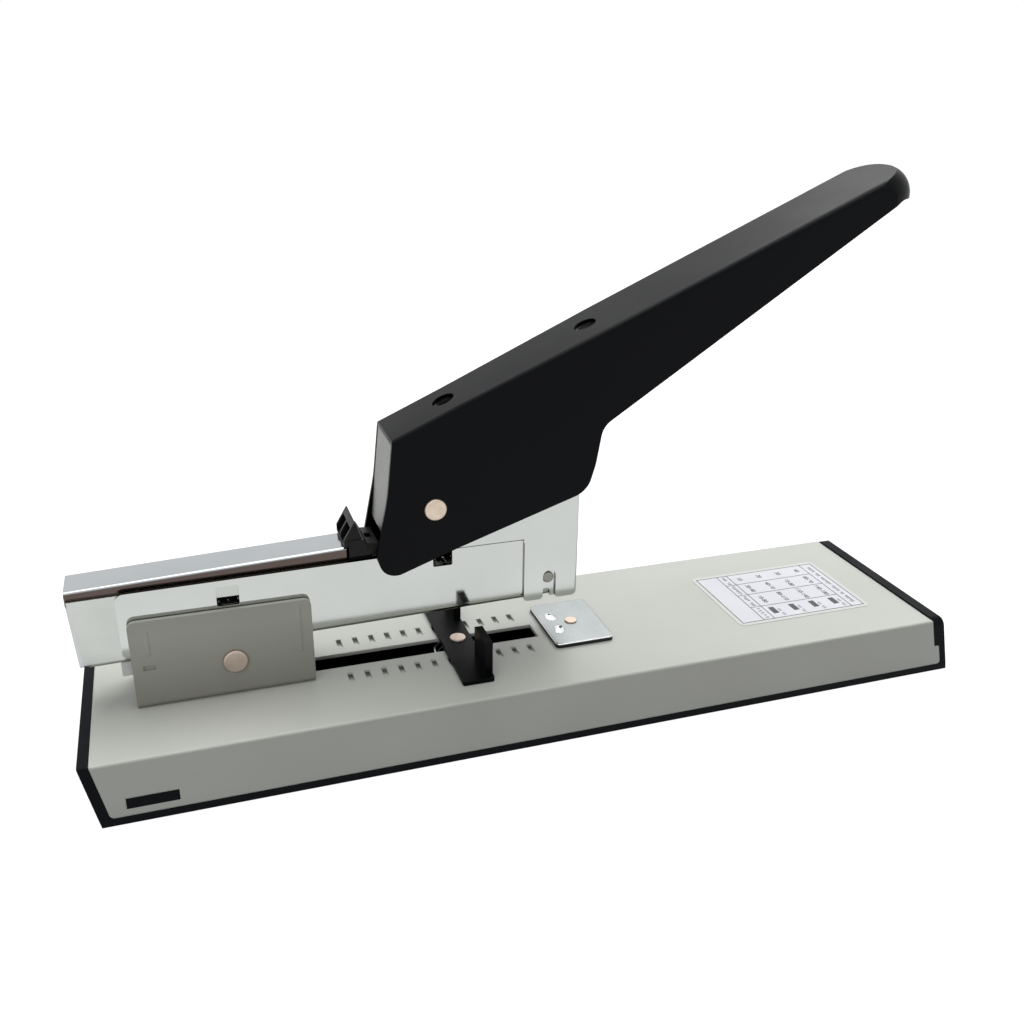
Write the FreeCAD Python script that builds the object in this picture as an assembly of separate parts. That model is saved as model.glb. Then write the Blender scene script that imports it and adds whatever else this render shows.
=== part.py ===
"""Heavy-duty desk stapler: a channel base, a hinged chrome head and a long lever handle.

Millimetres. +X runs from the rear of the base to the front (the grip side), +Y is across,
+Z is up. The origin is on the resting plane under the middle of the base.
"""
import FreeCAD, Part
import math
import os

from FreeCAD import Vector

os.makedirs("parts", exist_ok=True)

# Base
BASE_LENGTH = 285.0
BASE_WIDTH = 71.4
BASE_HEIGHT = 20.4
BASE_WALL_FLARE = 1.0
BASE_SHEET = 1.2
BASE_BEND_RADIUS = 0.8
END_RAKE = 0.21
REAR_WALL = 3.0
FRONT_WALL = 4.3
FRONT_WALL_PROUD = 0.6
FRONT_WALL_CORNER = 3.0
FRONT_WALL_EDGE = 0.8
TRAY_FLOOR_TOP = 3.1
FRONT_STEP_Z = 10.4
FRONT_STEP_LENGTH = 1.9
FOOT_RADIUS = 6.5
FOOT_PROUD = 0.5
FOOT_THICKNESS = 1.6
FOOT_INSET_X = 18.0
FOOT_INSET_Y = 12.0
POST_RADIUS = 3.5
POST_X = 105.0
POST_Y = 27.0
SCREW_RADIUS = 1.5
SCREW_HEAD_RADIUS = 3.0
SCREW_HEAD_HEIGHT = 1.4
SCREW_LENGTH = 9.0
RECESS_REACH = 1.6
RECESS_HALF_WIDTH = 0.35
RECESS_DEPTH = 0.7
WINDOW_X = -124.0
WINDOW_LENGTH = 14.4
WINDOW_LOW_Z = 5.3
WINDOW_HEIGHT = 3.4
TONGUE_DEPTH = 3.6
TONGUE_PLAY = 0.1
SLOT_REAR_X = -76.0
SLOT_FRONT_X = 2.1
SLOT_HALF_WIDTH = 4.2
STIFFENER_SHEET = 2.0
STIFFENER_REAR_X = -128.0
STIFFENER_FRONT_X = 44.0
STIFFENER_HALF_WIDTH = 21.0
STIFFENER_SLOT_HALF_WIDTH = 9.6
MARK_COUNT = 12
MARK_FIRST_X = -62.8
MARK_PITCH = 5.44
MARK_ROW_Y = 10.9
MARK_LENGTH = 5.0
MARK_WIDTH = 1.6
MARK_DEEP_END = 0.7
MARK_SHALLOW_END = 0.35
LABEL_CENTRE_X = 97.9
LABEL_LENGTH = 52.6
LABEL_WIDTH = 38.0
LABEL_THICKNESS = 0.15
LABEL_CORNER = 2.0

# Hinge bracket, its pin and the head's lift spring
BRACKET_REAR_X = -126.3
BRACKET_FRONT_X = -73.5
BRACKET_TOP_Z = 49.3
BRACKET_SHEET = 1.4
BRACKET_HALF_WIDTH = 10.15
BRACKET_CORNER = 2.2
BRACKET_WEB_FRONT_X = -77.5
RIDGE_X = (-121.3, -77.4)
RIDGE_LOW_Z = (38.0, 32.0)
RIDGE_HIGH_Z = (46.0, 47.5)
RIDGE_RADIUS = 1.0
RIDGE_PROUD = 0.3
LANCE_X = -121.5
LANCE_Z = 33.8
LANCE_LENGTH = 3.4
LANCE_HEIGHT = 1.6
LANCE_DEPTH = 0.5
BRACKET_RIVET_RADIUS = 1.6
BRACKET_RIVET_X = (-118.0, -84.0)
BRACKET_RIVET_Y = 4.6
HINGE_X = -97.1
HINGE_Z = 32.0
PIN_RADIUS = 3.0
PIN_CLEARANCE = 0.05
PIN_HEAD_RADIUS = 3.8
PIN_HEAD_HEIGHT = 1.1
LIFT_COIL_RADIUS = 3.75
LIFT_COIL_HALF_WIDTH = 5.0
LIFT_WIRE = 1.4
TAIL_STOP_OVERHANG = 3.1
TAIL_STOP_LENGTH = 7.3
TAIL_STOP_HALF_WIDTH = 6.2
TAIL_STOP_HEIGHT = 4.8
TAIL_GAP = 0.3

# Anvil
ANVIL_X = 15.5
ANVIL_LENGTH = 20.5
ANVIL_WIDTH = 28.4
ANVIL_THICKNESS = 1.5
ANVIL_CORNER = 1.6
ANVIL_EDGE = 0.4
ANVIL_GAP = 0.1
ANVIL_RIVET_RADIUS = 1.4
ANVIL_RIVET_HEAD = 2.1
ANVIL_RIVET_HEAD_HEIGHT = 0.5
POCKET_OFFSET_X = 5.7
POCKET_SPREAD = 4.5
POCKET_LENGTH = 6.2
POCKET_WIDTH = 3.8
POCKET_TURN = 14.0
POCKET_DEPTH = 0.75

# Paper guide
GUIDE_X = -24.9
GUIDE_REAR = 5.7
GUIDE_FRONT = 4.6
GUIDE_HALF_WIDTH = 27.0
GUIDE_SHEET = 1.4
GUIDE_GAP = 0.1
EAR_INNER_Y = 12.7
EAR_OUTER_Y = 24.4
EAR_THICKNESS = 2.5
EAR_HEIGHT = 11.0
EAR_SHOULDER = 1.6
GUIDE_BOSS_HALF = 4.0
GUIDE_RIVET_RADIUS = 1.5
GUIDE_RIVET_HEAD = 2.65
GUIDE_RIVET_HEAD_HEIGHT = 0.7
GUIDE_WASHER_RADIUS = 4.6
GUIDE_WASHER_Z = 12.6
GUIDE_WASHER_THICKNESS = 0.8
GUIDE_SPRING_TOP_RADIUS = 8.5
GUIDE_SPRING_LOW_RADIUS = 3.3
GUIDE_SPRING_WIRE = 0.8
GUIDE_SPRING_TURNS = 4

# Magazine and head
MAGAZINE_REAR_X = -141.4
MAGAZINE_FRONT_X = 9.4
MAGAZINE_REAR_BOTTOM_Z = 35.0
MAGAZINE_FRONT_BOTTOM_Z = 37.8
MAGAZINE_TAIL_SLANT = 2.2
MAGAZINE_SHEET = 1.0
MAGAZINE_HALF_WIDTH = 7.6
MAGAZINE_REAR_TOP_Z = 57.0
MAGAZINE_FRONT_TOP_Z = 58.6
SIDE_SHEET = 0.8
SIDE_REAR_X = -128.5
SIDE_FRONT_X = 12.2
SIDE_REAR_BOTTOM_Z = 37.7
SIDE_FRONT_BOTTOM_Z = 40.2
SIDE_TOE_X = -3.0
SIDE_TOE_Z = 37.8
SIDE_REAR_CORNER = 2.5
SIDE_REAR_TOP_Z = 57.8
SIDE_MID_TOP_Z = 59.1
SIDE_MID_X = -44.0
SIDE_FRONT_TOP_Z = 63.0
LUG_REACH = 5.2
SIDE_WINDOW_REAR = (-100.6, 6.5, 50.0, 56.2)
SIDE_WINDOW_FRONT = (-34.9, 6.2, 53.6, 58.9)
CHANNEL_WINDOW_TOP_Z = (52.5, 58.0)
FRAME_SHEET = 0.9
FRAME_FOLD_RADIUS = 0.8
FRAME_REAR_X = -46.0
FRAME_FRONT_X = 13.35
FRAME_LOW_Z = 59.3
FRAME_TOP_Z = 85.0
NOSE_REAR_X = -5.0
NOSE_BOTTOM_Z = 37.3
NOSE_CORNER = 1.2
NOSE_FRONT_CORNER = 2.0
NOSE_WALL_LIFT = 1.0
NOTCH_WIDTH = 2.7
NOTCH_TOP_Z = 40.6
NOSE_SLOT_REAR_X = 1.5
NOSE_SLOT_WIDTH = 4.4
NOSE_SLOT_TOP_Z = 47.4
FRONT_WALL_TOP_Z = 62.0
FRONT_GUIDE_THICKNESS = 1.4
NOSE_RIVET_X = 3.4
NOSE_RIVET_Z = 44.7
NOSE_RIVET_RADIUS = 1.9
RAIL_HALF_WIDTH = 5.4
RAIL_SHEET = 0.8
RAIL_TOP_Z = 46.0
RAIL_REAR_X = -120.0

# Loading cover, pusher and latch
COVER_REAR_X = -141.8
COVER_FRONT_X = -61.3
COVER_HALF_WIDTH = 6.4
COVER_SHEET = 0.8
COVER_BEND_RADIUS = 1.0
COVER_REAR_Z = 59.6
COVER_FRONT_Z = 62.9
COVER_SKIRT_Z = 55.4
COVER_END_LOW_Z = 35.2
COVER_END_SLANT = 1.2
COVER_END_SHEET = 1.2
ROD_Z = 49.6
ROD_RADIUS = 1.5
ROD_FRONT_X = 8.2
COLLAR_RADIUS = 2.4
COLLAR_REAR = 1.75
COLLAR_FRONT = 2.5
PUSHER_LENGTH = 15.0
PUSHER_GAP = 0.3
PUSHER_HALF_WIDTH = 6.2
PUSHER_TOP_Z = 53.0
SPRING_OUTER_RADIUS = 2.9
SPRING_INNER_RADIUS = 2.1
LATCH_PIVOT_X = -56.0
LATCH_PIVOT_Z = 55.6
LATCH_PIN_RADIUS = 1.2
LATCH_HALF_WIDTH = 6.2
LATCH_BLOCK_HALF_WIDTH = 7.4
LATCH_FIN_HALF_WIDTH = 7.0
LATCH_SLOT_HALF_WIDTH = 1.8
LATCH_FRONT_X = -51.4
LATCH_SHELF_Z = 60.1
LATCH_BLOCK_TOP_Z = 63.6
LATCH_FIN_REAR_X = -62.0
LATCH_FIN_TOP_X = -58.5
LATCH_FIN_TOP_Z = 71.4
LATCH_POCKET_RIB = 1.2
LATCH_POCKET_FLOOR_Z = 63.9

# Handle
PIVOT_X = -34.5
PIVOT_Z = 74.1
HANDLE_REAR_X = -47.0
HANDLE_REAR_TOP_Z = 96.8
HANDLE_RISE = 0.446
HANDLE_TIP_X = 125.0
HANDLE_TIP_LOW_Z = 161.3
HANDLE_TIP_CORNER = 13.5
HANDLE_DOME_Z = 161.8
HANDLE_DOME_RADIUS = 9.0
HANDLE_DOME_STEPS = 8
HANDLE_PLAN_MARGIN = 0.1
HANDLE_REAR_ROUND = 0.8
HANDLE_FLANGE = ((-49.0, 79.1, 60.0), (-52.9, 60.4, 3.0), (-51.0, 53.2, 5.2), (-45.8, 53.6, 3.0),
                 (14.4, 75.1, 8.0), (16.9, 84.0, 12.0), (18.8, 96.1, 7.0), (117.0, 161.0, 5.0))
HANDLE_SHEET = 1.2
HANDLE_FLARE_X = -26.5
HANDLE_MID_X = 22.0
HANDLE_REAR_HALF = 10.8
HANDLE_MID_HALF = 13.0
HANDLE_TIP_HALF = 13.95
HANDLE_REAR_EDGE = 1.3
HANDLE_MID_EDGE = 1.8
HANDLE_GRIP_EDGE = 2.4
HANDLE_HEAD_RADIUS = 3.5
REAR_PLATE_HALF_WIDTH = 9.3
REAR_PLATE_LOW_Z = 66.4
REAR_PLATE_SHEET = 1.2
HANDLE_HOLE_X = (-28.8, 16.6)
HANDLE_HOLE_RADIUS = 3.6
LEVER_SHEET = 1.5
LEVER_HALF_WIDTH = 6.1
LEVER_REAR_X = -42.0
LEVER_FRONT_X = 24.0
ROLLER_X = 4.0
ROLLER_Z = 90.3
ROLLER_RADIUS = 4.0
ROLLER_HALF_WIDTH = 4.3
AXLE_RADIUS = 1.9
AXLE_HALF_LENGTH = 7.3
HANDLE_COIL_RADIUS = 5.6
HANDLE_COIL_HALF_WIDTH = 4.2

# Driver
BLADE_THICKNESS = 1.1
BLADE_GAP = 0.15
BLADE_HALF_WIDTH = 6.1
BLADE_LOW_Z = 57.0
CARRIER_LOW_Z = 80.4
CARRIER_BRIDGE = 1.6
CARRIER_REAR_X = -2.4
CARRIER_HALF_WIDTH = 7.4
CARRIER_CHEEK = 1.0
CARRIER_TOP_Z = 94.6
CARRIER_PAD_HALF_WIDTH = 4.2
CARRIER_SLOT_FRONT = 3.6
CARRIER_SLOT_PLAY = 0.4

# Worked out from the values above
COVER_TOP_INNER_Z = BASE_HEIGHT - BASE_SHEET
BASE_REAR_X = -BASE_LENGTH / 2
BASE_FRONT_X = BASE_LENGTH / 2
BLADE_REAR_X = MAGAZINE_FRONT_X + BLADE_GAP
BLADE_FRONT_X = BLADE_REAR_X + BLADE_THICKNESS
FRAME_HALF_WIDTH = MAGAZINE_HALF_WIDTH + SIDE_SHEET + FRAME_SHEET
FRAME_INNER_HALF = FRAME_HALF_WIDTH - FRAME_SHEET
FRONT_WALL_REAR_X = FRAME_FRONT_X - FRAME_SHEET
ANVIL_LOW_Z = BASE_HEIGHT + ANVIL_GAP
ANVIL_TOP_Z = ANVIL_LOW_Z + ANVIL_THICKNESS
GUIDE_LOW_Z = BASE_HEIGHT + GUIDE_GAP
GUIDE_TOP_Z = GUIDE_LOW_Z + GUIDE_SHEET


def tangent_points(before, corner, after, radius):
    """Start, middle and end of the arc that rounds one corner of an outline."""
    to_before = (before - corner).normalize()
    to_after = (after - corner).normalize()
    half = to_before.getAngle(to_after) / 2
    reach = radius / math.tan(half)
    bisector = (to_before + to_after).normalize()
    centre = corner + bisector * (radius / math.sin(half))
    return corner + to_before * reach, centre - bisector * radius, corner + to_after * reach


def outline_face(corners, place):
    """Face inside an outline whose corners are (u, v) or (u, v, radius)."""
    points = [place(corner[0], corner[1]) for corner in corners]
    radii = [corner[2] if len(corner) > 2 else 0.0 for corner in corners]
    stops = []
    edges = []
    for index, point in enumerate(points):
        if radii[index] > 0:
            before = points[index - 1]
            after = points[(index + 1) % len(points)]
            start, middle, end = tangent_points(before, point, after, radii[index])
            edges.append((index, Part.Arc(start, middle, end).toShape()))
            stops.append((start, end))
        else:
            stops.append((point, point))
    loop = []
    arcs = dict(edges)
    for index, (start, end) in enumerate(stops):
        if index in arcs:
            loop.append(arcs[index])
        following = stops[(index + 1) % len(stops)][0]
        if end.distanceToPoint(following) > 1e-6:
            loop.append(Part.LineSegment(end, following).toShape())
    return Part.Face(Part.Wire(loop))


def prism_y(corners, low_y, high_y):
    """Prism across Y of an outline in X and Z."""
    face = outline_face(corners, lambda u, v: Vector(u, low_y, v))
    return face.extrude(Vector(0, high_y - low_y, 0))


def prism_z(corners, low_z, high_z):
    """Prism along Z of an outline in X and Y."""
    face = outline_face(corners, lambda u, v: Vector(u, v, low_z))
    return face.extrude(Vector(0, 0, high_z - low_z))


def prism_x(corners, low_x, high_x):
    """Prism along X of an outline in Y and Z."""
    face = outline_face(corners, lambda u, v: Vector(low_x, u, v))
    return face.extrude(Vector(high_x - low_x, 0, 0))


def block(low_x, high_x, low_y, high_y, low_z, high_z):
    """Box between two corners."""
    return Part.makeBox(high_x - low_x, high_y - low_y, high_z - low_z, Vector(low_x, low_y, low_z))


def slab(low_x, high_x, half_width, low_z, high_z):
    """Box centred across Y."""
    return block(low_x, high_x, -half_width, half_width, low_z, high_z)


def rod_y(x, z, radius, low_y, high_y):
    """Cylinder across Y."""
    return Part.makeCylinder(radius, high_y - low_y, Vector(x, low_y, z), Vector(0, 1, 0))


def rod_z(x, y, radius, low_z, high_z):
    """Cylinder along Z."""
    return Part.makeCylinder(radius, high_z - low_z, Vector(x, y, low_z), Vector(0, 0, 1))


def rod_x(y, z, radius, low_x, high_x):
    """Cylinder along X."""
    return Part.makeCylinder(radius, high_x - low_x, Vector(low_x, y, z), Vector(1, 0, 0))


def mirrored(shape):
    """The same shape on the other side of the middle plane."""
    return shape.mirror(Vector(0, 0, 0), Vector(0, 1, 0))


def both_sides(shape):
    """Two separate solids, one on each side."""
    return Part.makeCompound([shape, mirrored(shape)])


def domed_head_y(x, z, radius, face_y, height, side):
    """Low rivet head standing on a face square to Y, with an eased rim."""
    low = min(face_y, face_y + side * height)
    head = rod_y(x, z, radius, low, low + height)
    outer = face_y + side * height
    rim = [edge for edge in head.Edges
           if edge.Curve.TypeId == "Part::GeomCircle" and abs(edge.CenterOfMass.y - outer) < 1e-6]
    return head.makeFillet(height * 0.6, rim)


def domed_head_z(x, y, radius, face_z, height):
    """Low rivet head standing on a level face, with an eased rim."""
    head = rod_z(x, y, radius, face_z, face_z + height)
    rim = [edge for edge in head.Edges
           if edge.Curve.TypeId == "Part::GeomCircle" and edge.CenterOfMass.z > face_z + height / 2]
    return head.makeFillet(height * 0.6, rim)


def biarc(start, start_way, end, end_way):
    """Two tangent arcs from one point and direction to another."""
    chord = end - start
    ways = start_way + end_way
    lead = 2 * (1 - start_way.dot(end_way))
    across = chord.dot(ways)
    reach = (math.sqrt(across * across + lead * chord.dot(chord)) - across) / lead
    joint = (start + start_way * reach + end - end_way * reach) * 0.5
    joint_way = (end - end_way * reach - start - start_way * reach).normalize()
    return [arc_from(start, start_way, joint), arc_from(joint, joint_way, end)]


def arc_from(start, way, end):
    """Arc through two points that leaves the first along a direction."""
    chord = end - start
    side = (chord - way * chord.dot(way)).normalize()
    radius = chord.dot(chord) / (2 * chord.dot(side))
    centre = start + side * radius
    middle = centre + (start + end - centre * 2).normalize() * radius
    return Part.Arc(start, middle, end).toShape()


def conical_spring(centre_x, low_z, high_z, low_radius, high_radius, wire, turns):
    """Round wire wound on a cone about a vertical axis, one unbroken tube."""
    steps = turns * 4

    def point(step):
        share = step / steps
        radius = low_radius + (high_radius - low_radius) * share
        angle = step * math.pi / 2
        height = low_z + (high_z - low_z) * share
        return Vector(centre_x + radius * math.cos(angle), radius * math.sin(angle), height)

    def direction(step):
        nudge = 0.001
        return (point(step + nudge) - point(step - nudge)).normalize()

    edges = []
    for step in range(steps):
        edges += biarc(point(step), direction(step), point(step + 1), direction(step + 1))
    path = Part.Wire(edges)
    ring = Part.Wire([Part.Circle(point(0), direction(0), wire / 2).toShape()])
    tube = path.makePipeShell([ring], True, False)
    samples = [(step / 12, point(step / 12)) for step in range(steps * 12)]
    gaps = [a.distanceToPoint(b) for s, a in samples for t, b in samples if t - s > 2.0]
    print("guide spring least gap to itself: %.2f mm" % (min(gaps) - wire))
    return tube


def base_side_view(inset, low_z, high_z):
    """Outline of the base from the side, with both ends raked the same way."""
    def rear(z):
        return BASE_REAR_X + inset + END_RAKE * (BASE_HEIGHT - z)

    def front(z):
        return BASE_FRONT_X - inset + END_RAKE * (BASE_HEIGHT - z)

    return [(rear(low_z), low_z), (front(low_z), low_z), (front(high_z), high_z), (rear(high_z), high_z)]


def base_cross_section(inset):
    """Outline of the base across its length: level top, rounded bends, walls that flare a little."""
    half = BASE_WIDTH / 2 - inset
    foot = half + BASE_WALL_FLARE
    top = BASE_HEIGHT - inset
    radius = BASE_BEND_RADIUS - inset
    low = TRAY_FLOOR_TOP
    return [(-foot, low), (foot, low), (half, top, radius), (-half, top, radius)]


def base_half_width(z):
    """Half the width of the base at one height."""
    share = (BASE_HEIGHT - z) / (BASE_HEIGHT - TRAY_FLOOR_TOP)
    return BASE_WIDTH / 2 + BASE_WALL_FLARE * share


def make_base_cover():
    """Painted sheet-steel channel with the slot, the index marks and the wall windows."""
    reach = BASE_LENGTH
    outer = prism_x(base_cross_section(0.0), -reach, reach)
    inner = prism_x(base_cross_section(BASE_SHEET), -reach, reach)
    hollow = inner.fuse(block(-reach, reach, -base_half_width(0) + BASE_SHEET,
                              base_half_width(0) - BASE_SHEET, 0, TRAY_FLOOR_TOP + 1))
    shell = outer.cut(hollow)
    front_high = BASE_FRONT_X - FRONT_WALL - 0.1 + END_RAKE * (BASE_HEIGHT - FRONT_STEP_Z)
    front_low = front_high + END_RAKE * (FRONT_STEP_Z - TRAY_FLOOR_TOP)
    rear_low = BASE_REAR_X + REAR_WALL + END_RAKE * (BASE_HEIGHT - TRAY_FLOOR_TOP)
    side_view = [(rear_low + 0.1, TRAY_FLOOR_TOP, 1.5),
                 (front_low + FRONT_STEP_LENGTH, TRAY_FLOOR_TOP, 1.0),
                 (front_high + FRONT_STEP_LENGTH, FRONT_STEP_Z, 0.8),
                 (front_high, FRONT_STEP_Z),
                 (BASE_FRONT_X - FRONT_WALL - 0.1, BASE_HEIGHT),
                 (BASE_REAR_X + REAR_WALL + 0.1, BASE_HEIGHT)]
    shell = shell.common(prism_y(side_view, -BASE_WIDTH, BASE_WIDTH))
    cuts = [slab(SLOT_REAR_X, SLOT_FRONT_X, SLOT_HALF_WIDTH, COVER_TOP_INNER_Z - 1, BASE_HEIGHT + 1)]
    for index in range(MARK_COUNT):
        x = MARK_FIRST_X + index * MARK_PITCH
        for row_y in (-MARK_ROW_Y, MARK_ROW_Y):
            near = row_y - MARK_LENGTH / 2
            far = row_y + MARK_LENGTH / 2
            cuts.append(prism_x([(near, BASE_HEIGHT - MARK_SHALLOW_END), (far, BASE_HEIGHT - MARK_DEEP_END),
                                 (far, BASE_HEIGHT + 1), (near, BASE_HEIGHT + 1)],
                                x - MARK_WIDTH / 2, x + MARK_WIDTH / 2))
    low_x = WINDOW_X - WINDOW_LENGTH / 2
    cuts.append(slab(low_x, low_x + WINDOW_LENGTH, BASE_WIDTH, WINDOW_LOW_Z, WINDOW_LOW_Z + WINDOW_HEIGHT))
    cuts.append(rod_z(ANVIL_X, 0, ANVIL_RIVET_RADIUS, 0, BASE_HEIGHT + 1))
    for x in BRACKET_RIVET_X:
        for y in (-BRACKET_RIVET_Y, BRACKET_RIVET_Y):
            cuts.append(rod_z(x, y, BRACKET_RIVET_RADIUS, 0, BASE_HEIGHT + 1))
    return shell.cut(cuts)


def tray_section(top, radius):
    """Block as wide as the tray, with its two upper corners rounded."""
    low_half = base_half_width(TRAY_FLOOR_TOP)
    top_half = base_half_width(top)
    section = [(-low_half, FOOT_PROUD), (low_half, FOOT_PROUD), (low_half, TRAY_FLOOR_TOP),
               (top_half, top, radius), (-top_half, top, radius), (-low_half, TRAY_FLOOR_TOP)]
    return prism_x(section, -BASE_LENGTH, BASE_LENGTH)


def make_base_tray():
    """Black moulded tray: floor, both end walls and wells for the feet and screws."""
    low = FOOT_PROUD
    floor = prism_y(base_side_view(0.0, low, TRAY_FLOOR_TOP), -base_half_width(TRAY_FLOOR_TOP),
                    base_half_width(TRAY_FLOOR_TOP))
    full = tray_section(BASE_HEIGHT, BASE_BEND_RADIUS)
    front_top = BASE_HEIGHT + FRONT_WALL_PROUD
    front_full = tray_section(front_top, FRONT_WALL_CORNER)
    rear_wall = [(BASE_REAR_X + END_RAKE * (BASE_HEIGHT - low), low),
                 (BASE_REAR_X + END_RAKE * (BASE_HEIGHT - low) + REAR_WALL, low),
                 (BASE_REAR_X + REAR_WALL, BASE_HEIGHT), (BASE_REAR_X, BASE_HEIGHT)]
    step_low = BASE_FRONT_X + END_RAKE * (BASE_HEIGHT - FRONT_STEP_Z)
    front_low = BASE_FRONT_X + END_RAKE * (BASE_HEIGHT - low)
    front_wall = [(front_low - FRONT_WALL + FRONT_STEP_LENGTH + 0.1, low), (front_low, low),
                  (BASE_FRONT_X, front_top, FRONT_WALL_EDGE), (BASE_FRONT_X - FRONT_WALL, front_top),
                  (BASE_FRONT_X - FRONT_WALL, BASE_HEIGHT), (step_low - FRONT_WALL, FRONT_STEP_Z + 0.1),
                  (step_low - FRONT_WALL + FRONT_STEP_LENGTH + 0.1, FRONT_STEP_Z + 0.1)]
    walls = [prism_y(rear_wall, -BASE_WIDTH, BASE_WIDTH).common(full),
             prism_y(front_wall, -BASE_WIDTH, BASE_WIDTH).common(front_full)]
    low_x = WINDOW_X - WINDOW_LENGTH / 2 + TONGUE_PLAY
    high_x = WINDOW_X + WINDOW_LENGTH / 2 - TONGUE_PLAY
    window_top = WINDOW_LOW_Z + WINDOW_HEIGHT - TONGUE_PLAY
    root = BASE_WIDTH / 2 - BASE_SHEET - TONGUE_PLAY
    tongue = block(low_x, high_x, root - TONGUE_DEPTH, root, TRAY_FLOOR_TOP - 1, window_top)
    plug = block(low_x, high_x, root - 1, BASE_WIDTH, WINDOW_LOW_Z + TONGUE_PLAY, window_top).common(full)
    tray = floor.fuse(walls + [tongue, mirrored(tongue), plug, mirrored(plug)])
    cuts = []
    for x, y in foot_places():
        cuts.append(rod_z(x, y, FOOT_RADIUS, 0, FOOT_THICKNESS))
    for x, y in post_places():
        cuts.append(rod_z(x, y, SCREW_RADIUS, 0, TRAY_FLOOR_TOP + 1))
        cuts.append(rod_z(x, y, SCREW_HEAD_RADIUS, 0, low + SCREW_HEAD_HEIGHT))
    return tray.cut(cuts).removeSplitter()


def foot_places():
    """Centres of the feet: one in the middle and one near each corner."""
    x = BASE_FRONT_X - FOOT_INSET_X
    y = BASE_WIDTH / 2 - FOOT_INSET_Y
    return [(0, 0)] + [(sx * x, sy * y) for sx in (-1, 1) for sy in (-1, 1)]


def post_places():
    """Centres of the four posts that the tray screws reach."""
    return [(sx * POST_X, sy * POST_Y) for sx in (-1, 1) for sy in (-1, 1)]


def make_rubber_feet():
    """Round pads in the wells of the tray."""
    return Part.makeCompound([rod_z(x, y, FOOT_RADIUS, 0, FOOT_THICKNESS) for x, y in foot_places()])


def make_base_posts():
    """Four tapped posts welded under the cover."""
    posts = []
    for x, y in post_places():
        post = rod_z(x, y, POST_RADIUS, TRAY_FLOOR_TOP, COVER_TOP_INNER_Z)
        tapped = rod_z(x, y, SCREW_RADIUS, TRAY_FLOOR_TOP - 1, FOOT_PROUD + SCREW_LENGTH + 0.5)
        posts.append(post.cut(tapped))
    return Part.makeCompound(posts)


def make_base_screws():
    """Four pan-head screws up through the tray."""
    screws = []
    for x, y in post_places():
        head_low = FOOT_PROUD + 0.2
        head = rod_z(x, y, SCREW_HEAD_RADIUS, head_low, FOOT_PROUD + SCREW_HEAD_HEIGHT)
        shank = rod_z(x, y, SCREW_RADIUS, head_low, FOOT_PROUD + SCREW_LENGTH)
        recess_top = head_low + RECESS_DEPTH
        recess = [slab(x - RECESS_REACH, x + RECESS_REACH, RECESS_HALF_WIDTH, 0, recess_top),
                  slab(x - RECESS_HALF_WIDTH, x + RECESS_HALF_WIDTH, RECESS_REACH, 0, recess_top)]
        for piece in recess:
            piece.translate(Vector(0, y, 0))
        screws.append(head.fuse(shank).cut(recess))
    return Part.makeCompound(screws)


def make_base_stiffener():
    """Steel plate spot-welded under the cover, with a wide slot for the guide spring."""
    low = COVER_TOP_INNER_Z - STIFFENER_SHEET
    corner = STIFFENER_SLOT_HALF_WIDTH - 0.2
    plate = slab(STIFFENER_REAR_X, STIFFENER_FRONT_X, STIFFENER_HALF_WIDTH, low, COVER_TOP_INNER_Z)
    rear = SLOT_REAR_X + SLOT_HALF_WIDTH - STIFFENER_SLOT_HALF_WIDTH
    front = SLOT_FRONT_X - SLOT_HALF_WIDTH + STIFFENER_SLOT_HALF_WIDTH
    half = STIFFENER_SLOT_HALF_WIDTH
    slot = prism_z([(rear, -half, corner), (front, -half, corner), (front, half, corner),
                    (rear, half, corner)], low - 1, COVER_TOP_INNER_Z + 1)
    cuts = [slot, rod_z(ANVIL_X, 0, ANVIL_RIVET_RADIUS, 0, BASE_HEIGHT)]
    for x in BRACKET_RIVET_X:
        for y in (-BRACKET_RIVET_Y, BRACKET_RIVET_Y):
            cuts.append(rod_z(x, y, BRACKET_RIVET_RADIUS, 0, BASE_HEIGHT))
    return plate.cut(cuts)


def make_chart_label():
    """Blank-chart sticker with rounded corners."""
    low_x = LABEL_CENTRE_X - LABEL_LENGTH / 2
    high_x = low_x + LABEL_LENGTH
    half = LABEL_WIDTH / 2
    corners = [(low_x, -half, LABEL_CORNER), (high_x, -half, LABEL_CORNER),
               (high_x, half, LABEL_CORNER), (low_x, half, LABEL_CORNER)]
    return prism_z(corners, BASE_HEIGHT, BASE_HEIGHT + LABEL_THICKNESS)


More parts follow.
